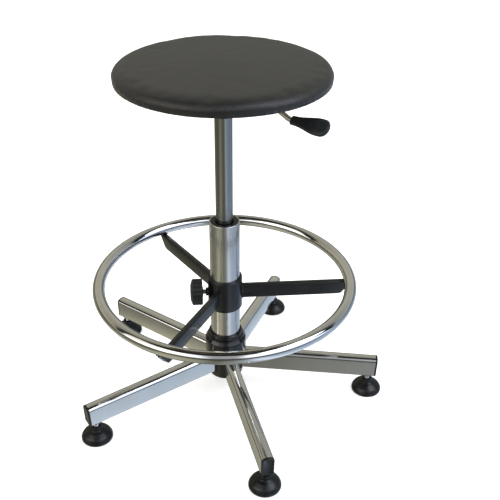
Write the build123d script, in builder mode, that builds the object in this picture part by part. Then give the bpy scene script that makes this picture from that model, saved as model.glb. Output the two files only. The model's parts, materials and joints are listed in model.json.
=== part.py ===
"""Height-adjustable drafting stool with a footring, built as separate pieces.

Millimetres, +Z up. The origin is on the floor, on the axis of the column.
One base arm points along -Y.
"""

import os
from math import cos, radians, sin

from build123d import *

# ---------------------------------------------------------------- driving sizes

# Base
arm_count = 5
first_arm_angle = 270.0  # degrees about +Z
arm_reach = 264.0  # column axis to the end of an arm
arm_width = 21.0
arm_height = 36.5
arm_arch_rise = 8.0
arm_wall = 1.5
arm_bottom_at_axis = 48.8  # the arms fall slightly towards their tips
arm_bottom_at_tip = 36.5
cap_flange = 3.5
cap_plug_depth = 7.0
cap_wall = 2.0
cap_edge_round = 1.2

# Glides
glide_circle_radius = 254.5
glide_radius = 26.0
glide_rim_height = 6.0
glide_dome_height = 20.0
glide_foot_chamfer = 2.0
glide_shoulder_radius = 22.4
glide_shoulder_rise = 6.0
glide_crown_radius = 15.1
glide_crown_drop = 3.0
glide_neck_radius = 9.5
glide_neck_height = 27.0
stem_diameter = 9.9
stem_depth_in_glide = 15.0
stem_end_gap = 2.0  # under the top of its socket
socket_barrel_radius = 7.5
socket_flange_radius = 9.0
socket_flange = 1.6
socket_height = 15.0

# Hub and its cover
hub_wall = 5.0
hub_bottom = 34.0
hub_height = 82.0
hub_edge_round = 4.0
cover_gap = 3.0  # round the hub, inside the cover
cover_wall = 2.5
cover_top = 125.0
cover_lip_wall = 4.0
cover_lip_height = 6.0
cover_step = 2.5
cover_step_height = 2.0
cover_step_drop = 10.0
cover_shoulder_drop = 16.0
cover_ceiling_slope = 6.0

# Column
tube_diameter = 50.0
tube_wall = 2.0
tube_bottom = 40.0
tube_top = 340.0
tube_foot_taper = 2.4  # on the diameter, pressed into the hub
tube_floor = 4.0
bush_length = 100.0
bush_recess = 1.0

# Gas spring
cylinder_diameter = 28.0
cylinder_wall = 2.0
cylinder_bottom = 232.0
cylinder_top = 560.0
cylinder_taper = 1.4  # on the diameter, at the top
gland_height = 18.0
valve_body_height = 22.0
rod_diameter = 10.0
rod_neck_diameter = 8.0
piston_height = 15.0
stroke_left = 30.0  # how far the seat can still rise
pin_diameter = 6.0
pin_length = 30.0
pin_proud = 3.8

# Thrust bearing at the foot of the rod
washer_thickness = 2.0
washer_outer_radius = 13.0
ball_diameter = 4.0
ball_count = 10
cage_thickness = 2.0
bump_height = 8.0
bump_radius = 10.0
clip_thickness = 1.5
clip_radius = 7.0

# Footring
ring_radius = 210.8  # centre line
ring_tube_diameter = 20.0
ring_wall = 1.5
spoke_count = 3
first_spoke_angle = 349.5
spoke_width = 10.0
spoke_height = 26.4
spoke_corner = 3.0
spoke_wall = 1.5
spoke_centre_height = 203.6
spoke_tip_radius = 216.0
spoke_tip_cut = 19.0
spoke_solid_tip = 30.0
saddle_depth = 0.8
vent_diameter = 4.0

# Collar that carries the footring
collar_wall = 2.95
collar_bottom = 178.0
collar_height = 55.0
liner_wall = 1.0
liner_lip = 1.5

# Clamp knob
knob_angle = 169.5
knob_diameter = 45.0
knob_gap = 8.5
knob_thickness = 22.0
knob_dome = 4.4
knob_face_radius = 12.4
knob_flutes = 12
flute_radius = 3.0
flute_depth = 1.2
stud_diameter = 8.0
stud_in_knob = 14.0
nut_diameter = 14.0
nut_height = 4.0
pad_length = 1.6
liner_slit = 2.0

# Seat
seat_diameter = 329.0
seat_bottom = 578.0
seat_edge_height = 19.5
seat_crown = 3.5
seat_top_round = 14.0
seat_lower_round = 5.0
board_diameter = 306.0
board_bottom = 583.0
board_thickness = 9.0
wrap_opening_diameter = 264.0
plate_width = 166.0
plate_thickness = 3.0
plate_corner = 14.0
dish_radius = 38.0
dish_depth = 24.0
boss_bottom = 520.0
boss_foot_wall = 1.7
boss_wall = 3.0
boss_flare_height = 6.0
boss_top = 560.0
screw_spacing = 130.0
screw_diameter = 6.0
screw_length = 11.0
screw_head_radius = 6.0
screw_head_height = 3.6
tee_barrel_radius = 4.0
tee_barrel_height = 8.0
tee_flange_radius = 9.0
tee_flange = 1.2

# Height lever
lever_angle = 309.1
lever_height = 568.0
lever_pivot_radius = 27.0
lever_bar_width = 6.0
lever_bar_height = 14.0
lever_nose = 4.0  # past the column axis
lever_bar_end = 36.0
lever_step_back = 8.0  # inwards of the pivot, where the bar thins to its nose
lever_step_slope = 4.0
lever_nose_rise = 2.0
lever_nose_gap = 0.2
pivot_diameter = 5.0
ear_width = 12.0
ear_thickness = 2.5
ear_rise = 6.0  # above the pivot
pin_overhang = 1.0
lever_slot_width = 11.0
lever_rod_diameter = 8.0
lever_first_bend = 65.0
lever_second_bend = 118.0
lever_bend_radius = 14.0
paddle_height = 541.5
paddle_start = 121.0
paddle_end = 182.0
paddle_neck_end = 133.2
paddle_widest = 162.5
paddle_neck_width = 14.0
paddle_edge_round = 2.0
paddle_width = 28.0
paddle_thickness = 9.0
paddle_roll = 35.0
paddle_socket_depth = 28.0

# Clearances
running = 0.05  # radial, between pieces that turn or slide in each other
slack = 0.3  # between pieces that only lie near each other

# ---------------------------------------------------------------- derived sizes

arm_angles = [first_arm_angle + k * 360.0 / arm_count for k in range(arm_count)]
spoke_angles = [first_spoke_angle + k * 360.0 / spoke_count for k in range(spoke_count)]
arm_slope = (arm_bottom_at_axis - arm_bottom_at_tip) / arm_reach
hub_top = hub_bottom + hub_height
tube_radius = tube_diameter / 2
tube_foot_radius = tube_radius - tube_foot_taper / 2
hub_radius = tube_radius + hub_wall
tube_bore = tube_radius - tube_wall
cylinder_radius = cylinder_diameter / 2
cylinder_bore = cylinder_radius - cylinder_wall
cylinder_taper_radius = cylinder_radius - cylinder_taper / 2
boss_foot_radius = cylinder_radius + boss_foot_wall
boss_radius = cylinder_radius + boss_wall
rod_radius = rod_diameter / 2
rod_neck_radius = rod_neck_diameter / 2
pin_radius = pin_diameter / 2
stem_radius = stem_diameter / 2
stud_radius = stud_diameter / 2

tube_floor_top = tube_bottom + tube_floor
ball_centre = tube_floor_top + washer_thickness + running / 2 + ball_diameter / 2
upper_washer_bottom = tube_floor_top + washer_thickness + ball_diameter + running
rod_shoulder = upper_washer_bottom + washer_thickness
piston_bottom = cylinder_bottom + gland_height + stroke_left
piston_top = piston_bottom + piston_height

collar_top = collar_bottom + collar_height
liner_bore = tube_radius + running
liner_radius = liner_bore + liner_wall
collar_radius = liner_radius + collar_wall
pad_end = liner_radius + pad_length
knob_inner = collar_radius + knob_gap
knob_outer = knob_inner + knob_thickness
spoke_top = spoke_centre_height + spoke_height / 2
ring_height = spoke_top - saddle_depth + ring_tube_diameter / 2

board_top = board_bottom + board_thickness
board_radius = board_diameter / 2
seat_radius = seat_diameter / 2
plate_bottom = board_bottom - plate_thickness
dish_bottom = plate_bottom - dish_depth
pivot_radius = pivot_diameter / 2
lever_rod_radius = lever_rod_diameter / 2

os.makedirs("parts", exist_ok=True)


# ---------------------------------------------------------------- helpers


def save(builder, label):
    """Label a finished piece and write it."""
    builder.part.label = label
    export_step(builder.part, f"parts/{label}.step")


def outward(angle):
    """Unit vector from the column axis towards an angle in degrees."""
    return Vector(cos(radians(angle)), sin(radians(angle)), 0)


def radial_plane(angle, height=0.0, roll=0.0):
    """Plane on the column axis: x runs outwards, z is up, tipped by roll about x."""
    along = outward(angle)
    across = Vector(-along.Y, along.X, 0)
    normal = Vector(0, 0, 1) * cos(radians(roll)) - across * sin(radians(roll))
    return Plane(origin=(0, 0, height), x_dir=along, z_dir=normal)


def side_plane(angle):
    """Upright plane through the column axis: x runs outwards, y is up."""
    along = outward(angle)
    return Plane(origin=(0, 0, 0), x_dir=along, z_dir=along.cross(Vector(0, 0, 1)))


def profile(points, rounds=0.0, plane=Plane.XZ):
    """Closed outline of (radius, height) points, with a rounding for each corner."""
    with BuildSketch(plane) as outline:
        with BuildLine():
            FilletPolyline(*points, radius=rounds, close=True)
        make_face()
    return outline.sketch


def arm_bottom(radius):
    """Height of the underside of an arm at a distance from the column axis."""
    return arm_bottom_at_axis - arm_slope * radius


def arm_plane(angle, radius):
    """Plane square to an arm: x across it, y up, z outwards along its fall."""
    along = outward(angle)
    fall = Vector(along.X, along.Y, -arm_slope).normalized()
    across = Vector(-along.Y, along.X, 0)
    start = along * radius + Vector(0, 0, arm_bottom(radius))
    return Plane(origin=start, x_dir=across, z_dir=fall)


def arm_section(plane, inset=0.0):
    """D-shaped section with flat sides and an arched top."""
    half = arm_width / 2 - inset
    low = inset
    high = arm_height - inset
    spring_line = arm_height - arm_arch_rise
    with BuildSketch(plane) as section:
        with BuildLine():
            Polyline((-half, spring_line), (-half, low), (half, low), (half, spring_line))
            ThreePointArc((half, spring_line), (0, high), (-half, spring_line))
        make_face()
    return section.sketch


plate_frame = radial_plane(lever_angle)
lever_plane = side_plane(lever_angle)

# ---------------------------------------------------------------- base

with BuildPart() as hub:
    revolve(
        profile(
            [
                (tube_foot_radius, hub_bottom),
                (hub_radius, hub_bottom),
                (hub_radius, hub_top),
                (tube_radius, hub_top),
                (tube_foot_radius, tube_bottom),
            ],
            [0, hub_edge_round, 1, 0, 0],
        ),
        axis=Axis.Z,
    )
save(hub, "hub")

cover_inner = hub_radius + cover_gap
cover_radius = cover_inner + cover_wall
cover_lip_radius = tube_radius + cover_lip_wall
cover_step_radius = cover_lip_radius + cover_step
cover_step_top = cover_top - cover_lip_height - cover_step_height
cover_bottom = arm_bottom(hub_radius) + arm_height + slack
cover_ceiling = hub_top + slack
with BuildPart() as hub_cover:
    revolve(
        profile(
            [
                (cover_inner, cover_bottom),
                (cover_radius, cover_bottom),
                (cover_radius, cover_top - cover_shoulder_drop),
                (cover_step_radius, cover_top - cover_step_drop),
                (cover_step_radius, cover_step_top),
                (cover_lip_radius, cover_top - cover_lip_height),
                (cover_lip_radius, cover_top),
                (tube_radius, cover_top),
                (tube_radius, cover_ceiling),
                (hub_radius, cover_ceiling),
                (cover_inner, cover_ceiling - cover_ceiling_slope),
            ],
            [0, 1, 4, 0, 0, 0, 1.5, 0, 0, 0, 0],
        ),
        axis=Axis.Z,
    )
save(hub_cover, "hub_cover")

socket_bore = stem_radius + running
socket_base = arm_bottom(glide_circle_radius)
stem_top = socket_base + socket_height - stem_end_gap
for number, angle in enumerate(arm_angles, start=1):
    glide_place = outward(angle) * glide_circle_radius

    with BuildPart() as arm:
        extrude(arm_section(arm_plane(angle, 0)), amount=arm_reach)
        extrude(
            arm_section(arm_plane(angle, 0), arm_wall),
            amount=arm_reach,
            mode=Mode.SUBTRACT,
        )
        with BuildSketch(Plane.XY):
            Circle(hub_radius)
        extrude(amount=2 * hub_top, mode=Mode.SUBTRACT)
        with BuildSketch(Plane.XY):
            with Locations(glide_place):
                Circle(socket_barrel_radius)
        extrude(amount=arm_bottom(glide_circle_radius) + arm_height / 2, mode=Mode.SUBTRACT)
    save(arm, f"base_arm_{number}")

    with BuildPart() as cap:
        tip_plane = arm_plane(angle, 0).offset(arm_reach)
        extrude(arm_section(tip_plane), amount=cap_flange)
        extrude(arm_section(tip_plane, arm_wall), amount=-cap_plug_depth)
        extrude(
            arm_section(tip_plane, arm_wall + cap_wall),
            amount=-cap_plug_depth,
            mode=Mode.SUBTRACT,
        )
        # the plug is cut away round the glide's socket
        with BuildSketch(Plane.XY):
            with Locations(glide_place):
                Circle(socket_flange_radius + slack)
        extrude(amount=arm_bottom(glide_circle_radius) + arm_height / 2, mode=Mode.SUBTRACT)
        outer_face = cap.faces().sort_by(Axis(tip_plane.origin, tip_plane.z_dir))[-1]
        fillet(outer_face.edges(), cap_edge_round)
    save(cap, f"arm_end_cap_{number}")

    with BuildPart() as stem:
        with BuildSketch(Plane.XY.offset(glide_neck_height - stem_depth_in_glide)):
            with Locations(glide_place):
                Circle(stem_radius)
        extrude(amount=stem_top - glide_neck_height + stem_depth_in_glide)
    save(stem, f"glide_stem_{number}")

    with BuildPart() as glide:
        revolve(
            profile(
                [
                    (0, 0),
                    (glide_radius - glide_foot_chamfer, 0),
                    (glide_radius, glide_foot_chamfer),
                    (glide_radius, glide_rim_height),
                    (glide_shoulder_radius, glide_rim_height + glide_shoulder_rise),
                    (glide_crown_radius, glide_dome_height - glide_crown_drop),
                    (glide_neck_radius, glide_dome_height),
                    (glide_neck_radius, glide_neck_height),
                    (0, glide_neck_height),
                ],
                [0, 0.8, 0.8, 4, 8, 8, 2, 1, 0],
                Plane(origin=glide_place, x_dir=(1, 0, 0), z_dir=(0, -1, 0)),
            ),
            axis=Axis(glide_place, (0, 0, 1)),
        )
        with BuildSketch(Plane.XY.offset(glide_neck_height)):
            with Locations(glide_place):
                Circle(stem_radius)
        extrude(amount=-stem_depth_in_glide, mode=Mode.SUBTRACT)
    save(glide, f"glide_{number}")

flange_bottom = socket_base - socket_flange
with BuildPart() as glide_sockets:
    for angle in arm_angles:
        socket_place = outward(angle) * glide_circle_radius
        with BuildSketch(Plane.XY.offset(flange_bottom)):
            with Locations(socket_place):
                Circle(socket_flange_radius)
        extrude(amount=2 * socket_flange)
        # the top of the flange follows the underside of the arm
        extrude(arm_section(arm_plane(angle, 0)), amount=arm_reach, mode=Mode.SUBTRACT)
        with BuildSketch(Plane.XY.offset(flange_bottom)):
            with Locations(socket_place):
                Circle(socket_barrel_radius)
        extrude(amount=socket_flange + socket_height)
        with BuildSketch(Plane.XY.offset(flange_bottom)):
            with Locations(socket_place):
                Circle(socket_bore)
        extrude(amount=socket_flange + socket_height, mode=Mode.SUBTRACT)
save(glide_sockets, "glide_sockets")


# ---------------------------------------------------------------- column

rim_round = tube_wall * 0.45
with BuildPart() as column_tube:
    revolve(
        profile(
            [
                (rod_neck_radius + running, tube_bottom),
                (tube_foot_radius, tube_bottom),
                (tube_radius, hub_top),
                (tube_radius, tube_top),
                (tube_bore, tube_top),
                (tube_bore, hub_top),
                (tube_foot_radius - tube_wall, tube_floor_top),
                (rod_neck_radius + running, tube_floor_top),
            ],
            [0, 0, 0, rim_round, rim_round, 0, 0, 0],
        ),
        axis=Axis.Z,
    )
save(column_tube, "column_tube")

bush_bore = cylinder_radius + running
bush_top = tube_top - bush_recess
with BuildPart() as guide_bush:
    revolve(
        profile(
            [
                (bush_bore, bush_top - bush_length),
                (tube_bore, bush_top - bush_length),
                (tube_bore, bush_top),
                (bush_bore, bush_top),
            ],
            [1, 0, 0.8, 2],
        ),
        axis=Axis.Z,
    )
save(guide_bush, "guide_bush")

with BuildPart() as gas_cylinder:
    revolve(
        profile(
            [
                (cylinder_bore, cylinder_bottom),
                (cylinder_radius, cylinder_bottom),
                (cylinder_radius, boss_bottom),
                (cylinder_taper_radius, cylinder_top),
                (cylinder_bore, cylinder_top),
            ],
            [0, 1, 0, 0, 0],
        ),
        axis=Axis.Z,
    )
save(gas_cylinder, "gas_cylinder")

with BuildPart() as rod_gland:
    with BuildSketch(Plane.XY.offset(cylinder_bottom)):
        Circle(cylinder_bore)
        Circle(rod_radius + running, mode=Mode.SUBTRACT)
    extrude(amount=gland_height)
save(rod_gland, "rod_gland")

with BuildPart() as valve_body:
    with BuildSketch(Plane.XY.offset(cylinder_top)):
        Circle(cylinder_bore)
        Circle(pin_radius + running, mode=Mode.SUBTRACT)
    extrude(amount=-valve_body_height)
save(valve_body, "valve_body")

pin_top = cylinder_top + pin_proud
with BuildPart() as valve_pin:
    with BuildSketch(Plane.XY.offset(pin_top - pin_length)):
        Circle(pin_radius)
    extrude(amount=pin_length)
    chamfer(valve_pin.edges().sort_by(Axis.Z)[-1], pin_radius / 3)
save(valve_pin, "valve_pin")

clip_bottom = tube_bottom - running - clip_thickness
rod_end = clip_bottom - clip_thickness
with BuildPart() as piston_rod:
    revolve(
        profile(
            [
                (0, rod_end),
                (rod_neck_radius, rod_end),
                (rod_neck_radius, rod_shoulder),
                (rod_radius, rod_shoulder),
                (rod_radius, piston_bottom),
                (rod_neck_radius, piston_bottom),
                (rod_neck_radius, piston_top),
                (0, piston_top),
            ],
            [0, 0.5, 0, 0, 0, 0, 0.5, 0],
        ),
        axis=Axis.Z,
    )
save(piston_rod, "piston_rod")

with BuildPart() as piston:
    with BuildSketch(Plane.XY.offset(piston_bottom)):
        Circle(cylinder_bore - running)
        Circle(rod_neck_radius, mode=Mode.SUBTRACT)
    extrude(amount=piston_height)
save(piston, "piston")

with BuildPart() as rod_clip:
    with BuildSketch(Plane.XY.offset(clip_bottom)):
        Circle(clip_radius)
        Circle(rod_neck_radius, mode=Mode.SUBTRACT)
    extrude(amount=clip_thickness)
save(rod_clip, "rod_clip")

with BuildPart() as bearing_washer_lower:
    with BuildSketch(Plane.XY.offset(tube_floor_top)):
        Circle(washer_outer_radius)
        Circle(rod_neck_radius + running, mode=Mode.SUBTRACT)
    extrude(amount=washer_thickness)
save(bearing_washer_lower, "bearing_washer_lower")

with BuildPart() as bearing_washer_upper:
    with BuildSketch(Plane.XY.offset(upper_washer_bottom)):
        Circle(washer_outer_radius)
        Circle(rod_neck_radius, mode=Mode.SUBTRACT)
    extrude(amount=washer_thickness)
save(bearing_washer_upper, "bearing_washer_upper")

ball_circle = (washer_outer_radius + rod_neck_radius) / 2
with BuildPart() as ball_cage:
    with BuildSketch(Plane.XY.offset(ball_centre - cage_thickness / 2)):
        Circle(washer_outer_radius - slack)
        Circle(rod_neck_radius + slack, mode=Mode.SUBTRACT)
        with PolarLocations(ball_circle, ball_count):
            Circle(ball_diameter / 2 + running, mode=Mode.SUBTRACT)
    extrude(amount=cage_thickness)
save(ball_cage, "ball_cage")

with BuildPart() as bearing_balls:
    with Locations((0, 0, ball_centre)):
        with PolarLocations(ball_circle, ball_count):
            Sphere(ball_diameter / 2)
save(bearing_balls, "bearing_balls")

with BuildPart() as bump_ring:
    with BuildSketch(Plane.XY.offset(rod_shoulder)):
        Circle(bump_radius)
        Circle(rod_radius, mode=Mode.SUBTRACT)
    extrude(amount=bump_height)
    fillet(bump_ring.edges().sort_by(Axis.Z)[-1], 1.5)
save(bump_ring, "bump_ring")


# ---------------------------------------------------------------- footring

with BuildPart() as footring:
    with BuildSketch(Plane.XZ):
        with Locations((ring_radius, ring_height)):
            Circle(ring_tube_diameter / 2)
            Circle(ring_tube_diameter / 2 - ring_wall, mode=Mode.SUBTRACT)
    revolve(axis=Axis.Z)
    # a vent hole under the ring, over each spoke, covered by the weld
    with BuildSketch(Plane.XY.offset(ring_height)):
        for angle in spoke_angles:
            with Locations(outward(angle) * ring_radius):
                Circle(vent_diameter / 2)
    extrude(amount=-ring_tube_diameter, mode=Mode.SUBTRACT)
save(footring, "footring")

# the outer surface of the ring, as a solid to cut the saddles with
ring_body = Pos(0, 0, ring_height) * Torus(ring_radius, ring_tube_diameter / 2)
spoke_bottom = spoke_centre_height - spoke_height / 2
for number, angle in enumerate(spoke_angles, start=1):
    spoke_start = Plane(
        origin=(0, 0, spoke_centre_height),
        x_dir=outward(angle + 90),
        z_dir=outward(angle),
    )
    with BuildPart() as spoke:
        with BuildSketch(spoke_start):
            RectangleRounded(spoke_width, spoke_height, spoke_corner)
        extrude(amount=spoke_tip_radius)
        with BuildSketch(spoke_start):
            RectangleRounded(
                spoke_width - 2 * spoke_wall,
                spoke_height - 2 * spoke_wall,
                spoke_corner - spoke_wall,
            )
        extrude(amount=spoke_tip_radius - spoke_solid_tip, mode=Mode.SUBTRACT)
        with BuildSketch(Plane.XY):
            Circle(collar_radius)
        extrude(amount=2 * spoke_centre_height, mode=Mode.SUBTRACT)
        with BuildSketch(side_plane(angle)):
            with BuildLine():
                Polyline(
                    (spoke_tip_radius - spoke_tip_cut, spoke_bottom),
                    (spoke_tip_radius, spoke_bottom),
                    (spoke_tip_radius, spoke_bottom + spoke_tip_cut),
                    close=True,
                )
            make_face()
        extrude(amount=spoke_width, both=True, mode=Mode.SUBTRACT)
        add(ring_body, mode=Mode.SUBTRACT)
    save(spoke, f"footring_spoke_{number}")

knob_plane = Plane(
    origin=(0, 0, spoke_centre_height),
    x_dir=outward(knob_angle + 90),
    z_dir=outward(knob_angle),
)
stud_hole = stud_radius + running
with BuildPart() as footring_collar:
    with BuildSketch(Plane.XY.offset(collar_bottom)):
        Circle(collar_radius)
        Circle(liner_radius, mode=Mode.SUBTRACT)
    extrude(amount=collar_height)
    with BuildSketch(knob_plane):
        Circle(stud_hole)
    extrude(amount=2 * collar_radius, mode=Mode.SUBTRACT)
save(footring_collar, "footring_collar")

lip_radius = collar_radius - slack
liner_outside = liner_radius - running
with BuildPart() as collar_liner:
    revolve(
        profile(
            [
                (liner_bore, collar_bottom - liner_lip),
                (lip_radius, collar_bottom - liner_lip),
                (lip_radius, collar_bottom - running),
                (liner_outside, collar_bottom - running),
                (liner_outside, collar_top + running),
                (lip_radius, collar_top + running),
                (lip_radius, collar_top + liner_lip),
                (liner_bore, collar_top + liner_lip),
            ],
            [0, 0.7, 0, 0, 0, 0, 0.7, 0],
        ),
        axis=Axis.Z,
    )
    # slit opposite the knob, so that the clamp can close the liner on the tube
    with BuildSketch(radial_plane(knob_angle + 180, collar_bottom - liner_lip)):
        with Locations((collar_radius / 2, 0)):
            Rectangle(collar_radius, liner_slit)
    extrude(amount=collar_height + 2 * liner_lip, mode=Mode.SUBTRACT)
save(collar_liner, "collar_liner")

with BuildPart() as clamp_nut:
    with BuildSketch(knob_plane):
        Circle(nut_diameter / 2)
        Circle(stud_hole, mode=Mode.SUBTRACT)
    extrude(amount=collar_radius + nut_height)
    with BuildSketch(Plane.XY):
        Circle(collar_radius)
    extrude(amount=2 * spoke_centre_height, mode=Mode.SUBTRACT)
save(clamp_nut, "clamp_nut")

with BuildPart() as clamp_pad:
    with BuildSketch(knob_plane):
        Circle(stud_radius)
    extrude(amount=pad_end)
    with BuildSketch(Plane.XY):
        Circle(liner_radius)
    extrude(amount=2 * spoke_centre_height, mode=Mode.SUBTRACT)
save(clamp_pad, "clamp_pad")

with BuildPart() as clamp_stud:
    with BuildSketch(knob_plane.offset(pad_end)):
        Circle(stud_radius)
    extrude(amount=knob_inner + stud_in_knob - pad_end)
save(clamp_stud, "clamp_stud")

knob_radius = knob_diameter / 2
with BuildPart() as clamp_knob:
    revolve(
        profile(
            [
                (0, knob_inner),
                (knob_radius, knob_inner),
                (knob_radius, knob_outer - knob_dome),
                (knob_face_radius, knob_outer),
                (0, knob_outer),
            ],
            [0, 1.5, 3, 8, 0],
            Plane(origin=knob_plane.origin, x_dir=(0, 0, 1), z_dir=outward(knob_angle + 90)),
        ),
        axis=Axis(knob_plane.origin, knob_plane.z_dir),
    )
    with BuildSketch(knob_plane.offset(knob_inner)):
        Circle(stud_radius)
    extrude(amount=stud_in_knob, mode=Mode.SUBTRACT)
    # finger flutes round the rim
    with BuildSketch(knob_plane.offset(knob_inner)):
        with PolarLocations(knob_radius + flute_radius - flute_depth, knob_flutes):
            Circle(flute_radius)
    extrude(amount=knob_thickness, mode=Mode.SUBTRACT)
save(clamp_knob, "clamp_knob")


# ---------------------------------------------------------------- seat

with BuildPart() as seat_board:
    with BuildSketch(Plane.XY.offset(board_bottom)):
        Circle(board_radius)
    extrude(amount=board_thickness)
    with BuildSketch(plate_frame.offset(board_bottom)):
        with GridLocations(screw_spacing, screw_spacing, 2, 2):
            Circle(tee_barrel_radius)
    extrude(amount=board_thickness, mode=Mode.SUBTRACT)
    with BuildSketch(plate_frame.offset(board_top)):
        with GridLocations(screw_spacing, screw_spacing, 2, 2):
            Circle(tee_flange_radius)
    extrude(amount=-tee_flange, mode=Mode.SUBTRACT)
save(seat_board, "seat_board")

wrap_radius = wrap_opening_diameter / 2
seat_edge_top = seat_bottom + seat_edge_height
with BuildPart() as seat_cushion:
    revolve(
        profile(
            [
                (0, board_top),
                (board_radius, board_top),
                (board_radius, board_bottom),
                (wrap_radius, board_bottom),
                (wrap_radius, seat_bottom),
                (seat_radius, seat_bottom),
                (seat_radius, seat_edge_top),
                (0, seat_edge_top + seat_crown),
            ],
            [0, 0, 0, 0, 0, seat_lower_round, seat_top_round, 0],
        ),
        axis=Axis.Z,
    )
save(seat_cushion, "seat_cushion")

# the plate is one square pressing with a round dish in its middle
with BuildPart() as seat_plate:
    with BuildSketch(plate_frame.offset(plate_bottom)):
        RectangleRounded(plate_width, plate_width, plate_corner)
        with GridLocations(screw_spacing, screw_spacing, 2, 2):
            Circle(screw_diameter / 2 + slack, mode=Mode.SUBTRACT)
    extrude(amount=plate_thickness)
    with BuildSketch(plate_frame.offset(dish_bottom)):
        Circle(dish_radius)
    extrude(amount=dish_depth)
    with BuildSketch(plate_frame.offset(dish_bottom + plate_thickness)):
        Circle(dish_radius - plate_thickness)
    extrude(amount=dish_depth, mode=Mode.SUBTRACT)
    with BuildSketch(plate_frame.offset(dish_bottom)):
        Circle(boss_radius)
    extrude(amount=plate_thickness, mode=Mode.SUBTRACT)
    with BuildSketch(plate_frame.offset(dish_bottom + plate_thickness + slack)):
        with Locations((dish_radius, 0)):
            Rectangle(dish_radius, lever_slot_width)
    extrude(amount=dish_depth - plate_thickness - 2 * slack, mode=Mode.SUBTRACT)
save(seat_plate, "seat_plate")

with BuildPart() as taper_socket:
    revolve(
        profile(
            [
                (cylinder_radius, boss_bottom),
                (boss_foot_radius, boss_bottom),
                (boss_radius, boss_bottom + boss_flare_height),
                (boss_radius, boss_top),
                (cylinder_taper_radius, boss_top),
            ],
            [0, 1.2, 4, 0, 0],
        ),
        axis=Axis.Z,
    )
save(taper_socket, "taper_socket")

ear_gap = lever_bar_width / 2 + slack
ear_bottom = dish_bottom + plate_thickness
ear_top = lever_height + ear_rise
with BuildPart() as lever_bracket:
    for side in (-1, 1):
        with BuildSketch(plate_frame.offset(ear_bottom)):
            with Locations((lever_pivot_radius, side * (ear_gap + ear_thickness / 2))):
                Rectangle(ear_width, ear_thickness)
        extrude(amount=ear_top - ear_bottom)
    with BuildSketch(lever_plane):
        with Locations((lever_pivot_radius, lever_height)):
            Circle(pivot_radius)
    extrude(amount=2 * ear_gap + 2 * ear_thickness, both=True, mode=Mode.SUBTRACT)
save(lever_bracket, "lever_bracket")

pin_half = ear_gap + ear_thickness + pin_overhang
with BuildPart() as lever_pivot_pin:
    with BuildSketch(lever_plane):
        with Locations((lever_pivot_radius, lever_height)):
            Circle(pivot_radius)
    extrude(amount=pin_half, both=True)
    chamfer(lever_pivot_pin.edges().filter_by(GeomType.CIRCLE), 0.4)
save(lever_pivot_pin, "lever_pivot_pin")

nose_bottom = pin_top + lever_nose_gap
lever_step = lever_pivot_radius - lever_step_back
lever_bar_bottom = lever_height - lever_bar_height / 2
lever_bar_top = lever_height + lever_bar_height / 2
with BuildPart() as lever_bar:
    with BuildSketch(lever_plane) as bar_side:
        with BuildLine():
            FilletPolyline(
                (-lever_nose, nose_bottom),
                (lever_step, nose_bottom),
                (lever_step + lever_step_slope, lever_bar_bottom),
                (lever_bar_end, lever_bar_bottom),
                (lever_bar_end, lever_bar_top),
                (lever_step, lever_bar_top),
                (-lever_nose, lever_height + lever_nose_rise),
                radius=[1, 1, 0.5, 1, 1, 1, 1],
                close=True,
            )
        make_face()
        with Locations((lever_pivot_radius, lever_height)):
            Circle(pivot_radius + running, mode=Mode.SUBTRACT)
    extrude(amount=lever_bar_width / 2, both=True)
save(lever_bar, "lever_bar")

rod_reach = paddle_start + paddle_socket_depth
with BuildPart() as lever_rod:
    with BuildLine(lever_plane) as rod_path:
        FilletPolyline(
            (lever_bar_end, lever_height),
            (lever_first_bend, lever_height),
            (lever_second_bend, paddle_height),
            (rod_reach, paddle_height),
            radius=lever_bend_radius,
        )
    with BuildSketch(Plane(origin=rod_path.line @ 0, z_dir=rod_path.line % 0)):
        Circle(lever_rod_radius)
    sweep()
save(lever_rod, "lever_rod")

paddle_plane = radial_plane(lever_angle, paddle_height, paddle_roll)
half_neck = paddle_neck_width / 2
half_width = paddle_width / 2
with BuildPart() as lever_paddle:
    with BuildSketch(paddle_plane.offset(-paddle_thickness / 2)):
        with BuildLine():
            Line((paddle_start, -half_neck), (paddle_start, half_neck))
            for side in (-1, 1):
                Line((paddle_start, side * half_neck), (paddle_neck_end, side * half_neck))
                Spline(
                    (paddle_neck_end, side * half_neck),
                    (paddle_widest, side * half_width),
                    (paddle_end, 0),
                    tangents=((1, 0), (0, -side)),
                )
        make_face()
    extrude(amount=paddle_thickness)
    paddle_normal = Axis(paddle_plane.origin, paddle_plane.z_dir)
    fillet(lever_paddle.edges().group_by(paddle_normal)[-1], paddle_edge_round)
    fillet(lever_paddle.edges().group_by(paddle_normal)[0], paddle_edge_round)
    socket_mouth = outward(lever_angle) * paddle_start + Vector(0, 0, paddle_height)
    with BuildSketch(Plane(origin=socket_mouth, z_dir=outward(lever_angle))):
        Circle(lever_rod_radius)
    extrude(amount=paddle_socket_depth, mode=Mode.SUBTRACT)
save(lever_paddle, "lever_paddle")

screw_head_bottom = plate_bottom - screw_head_height
with BuildPart() as seat_screws:
    with BuildSketch(plate_frame.offset(screw_head_bottom)):
        with GridLocations(screw_spacing, screw_spacing, 2, 2):
            Circle(screw_head_radius)
    extrude(amount=screw_head_height)
    with BuildSketch(plate_frame.offset(plate_bottom)):
        with GridLocations(screw_spacing, screw_spacing, 2, 2):
            Circle(screw_diameter / 2)
    extrude(amount=screw_length)
save(seat_screws, "seat_screws")

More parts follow.
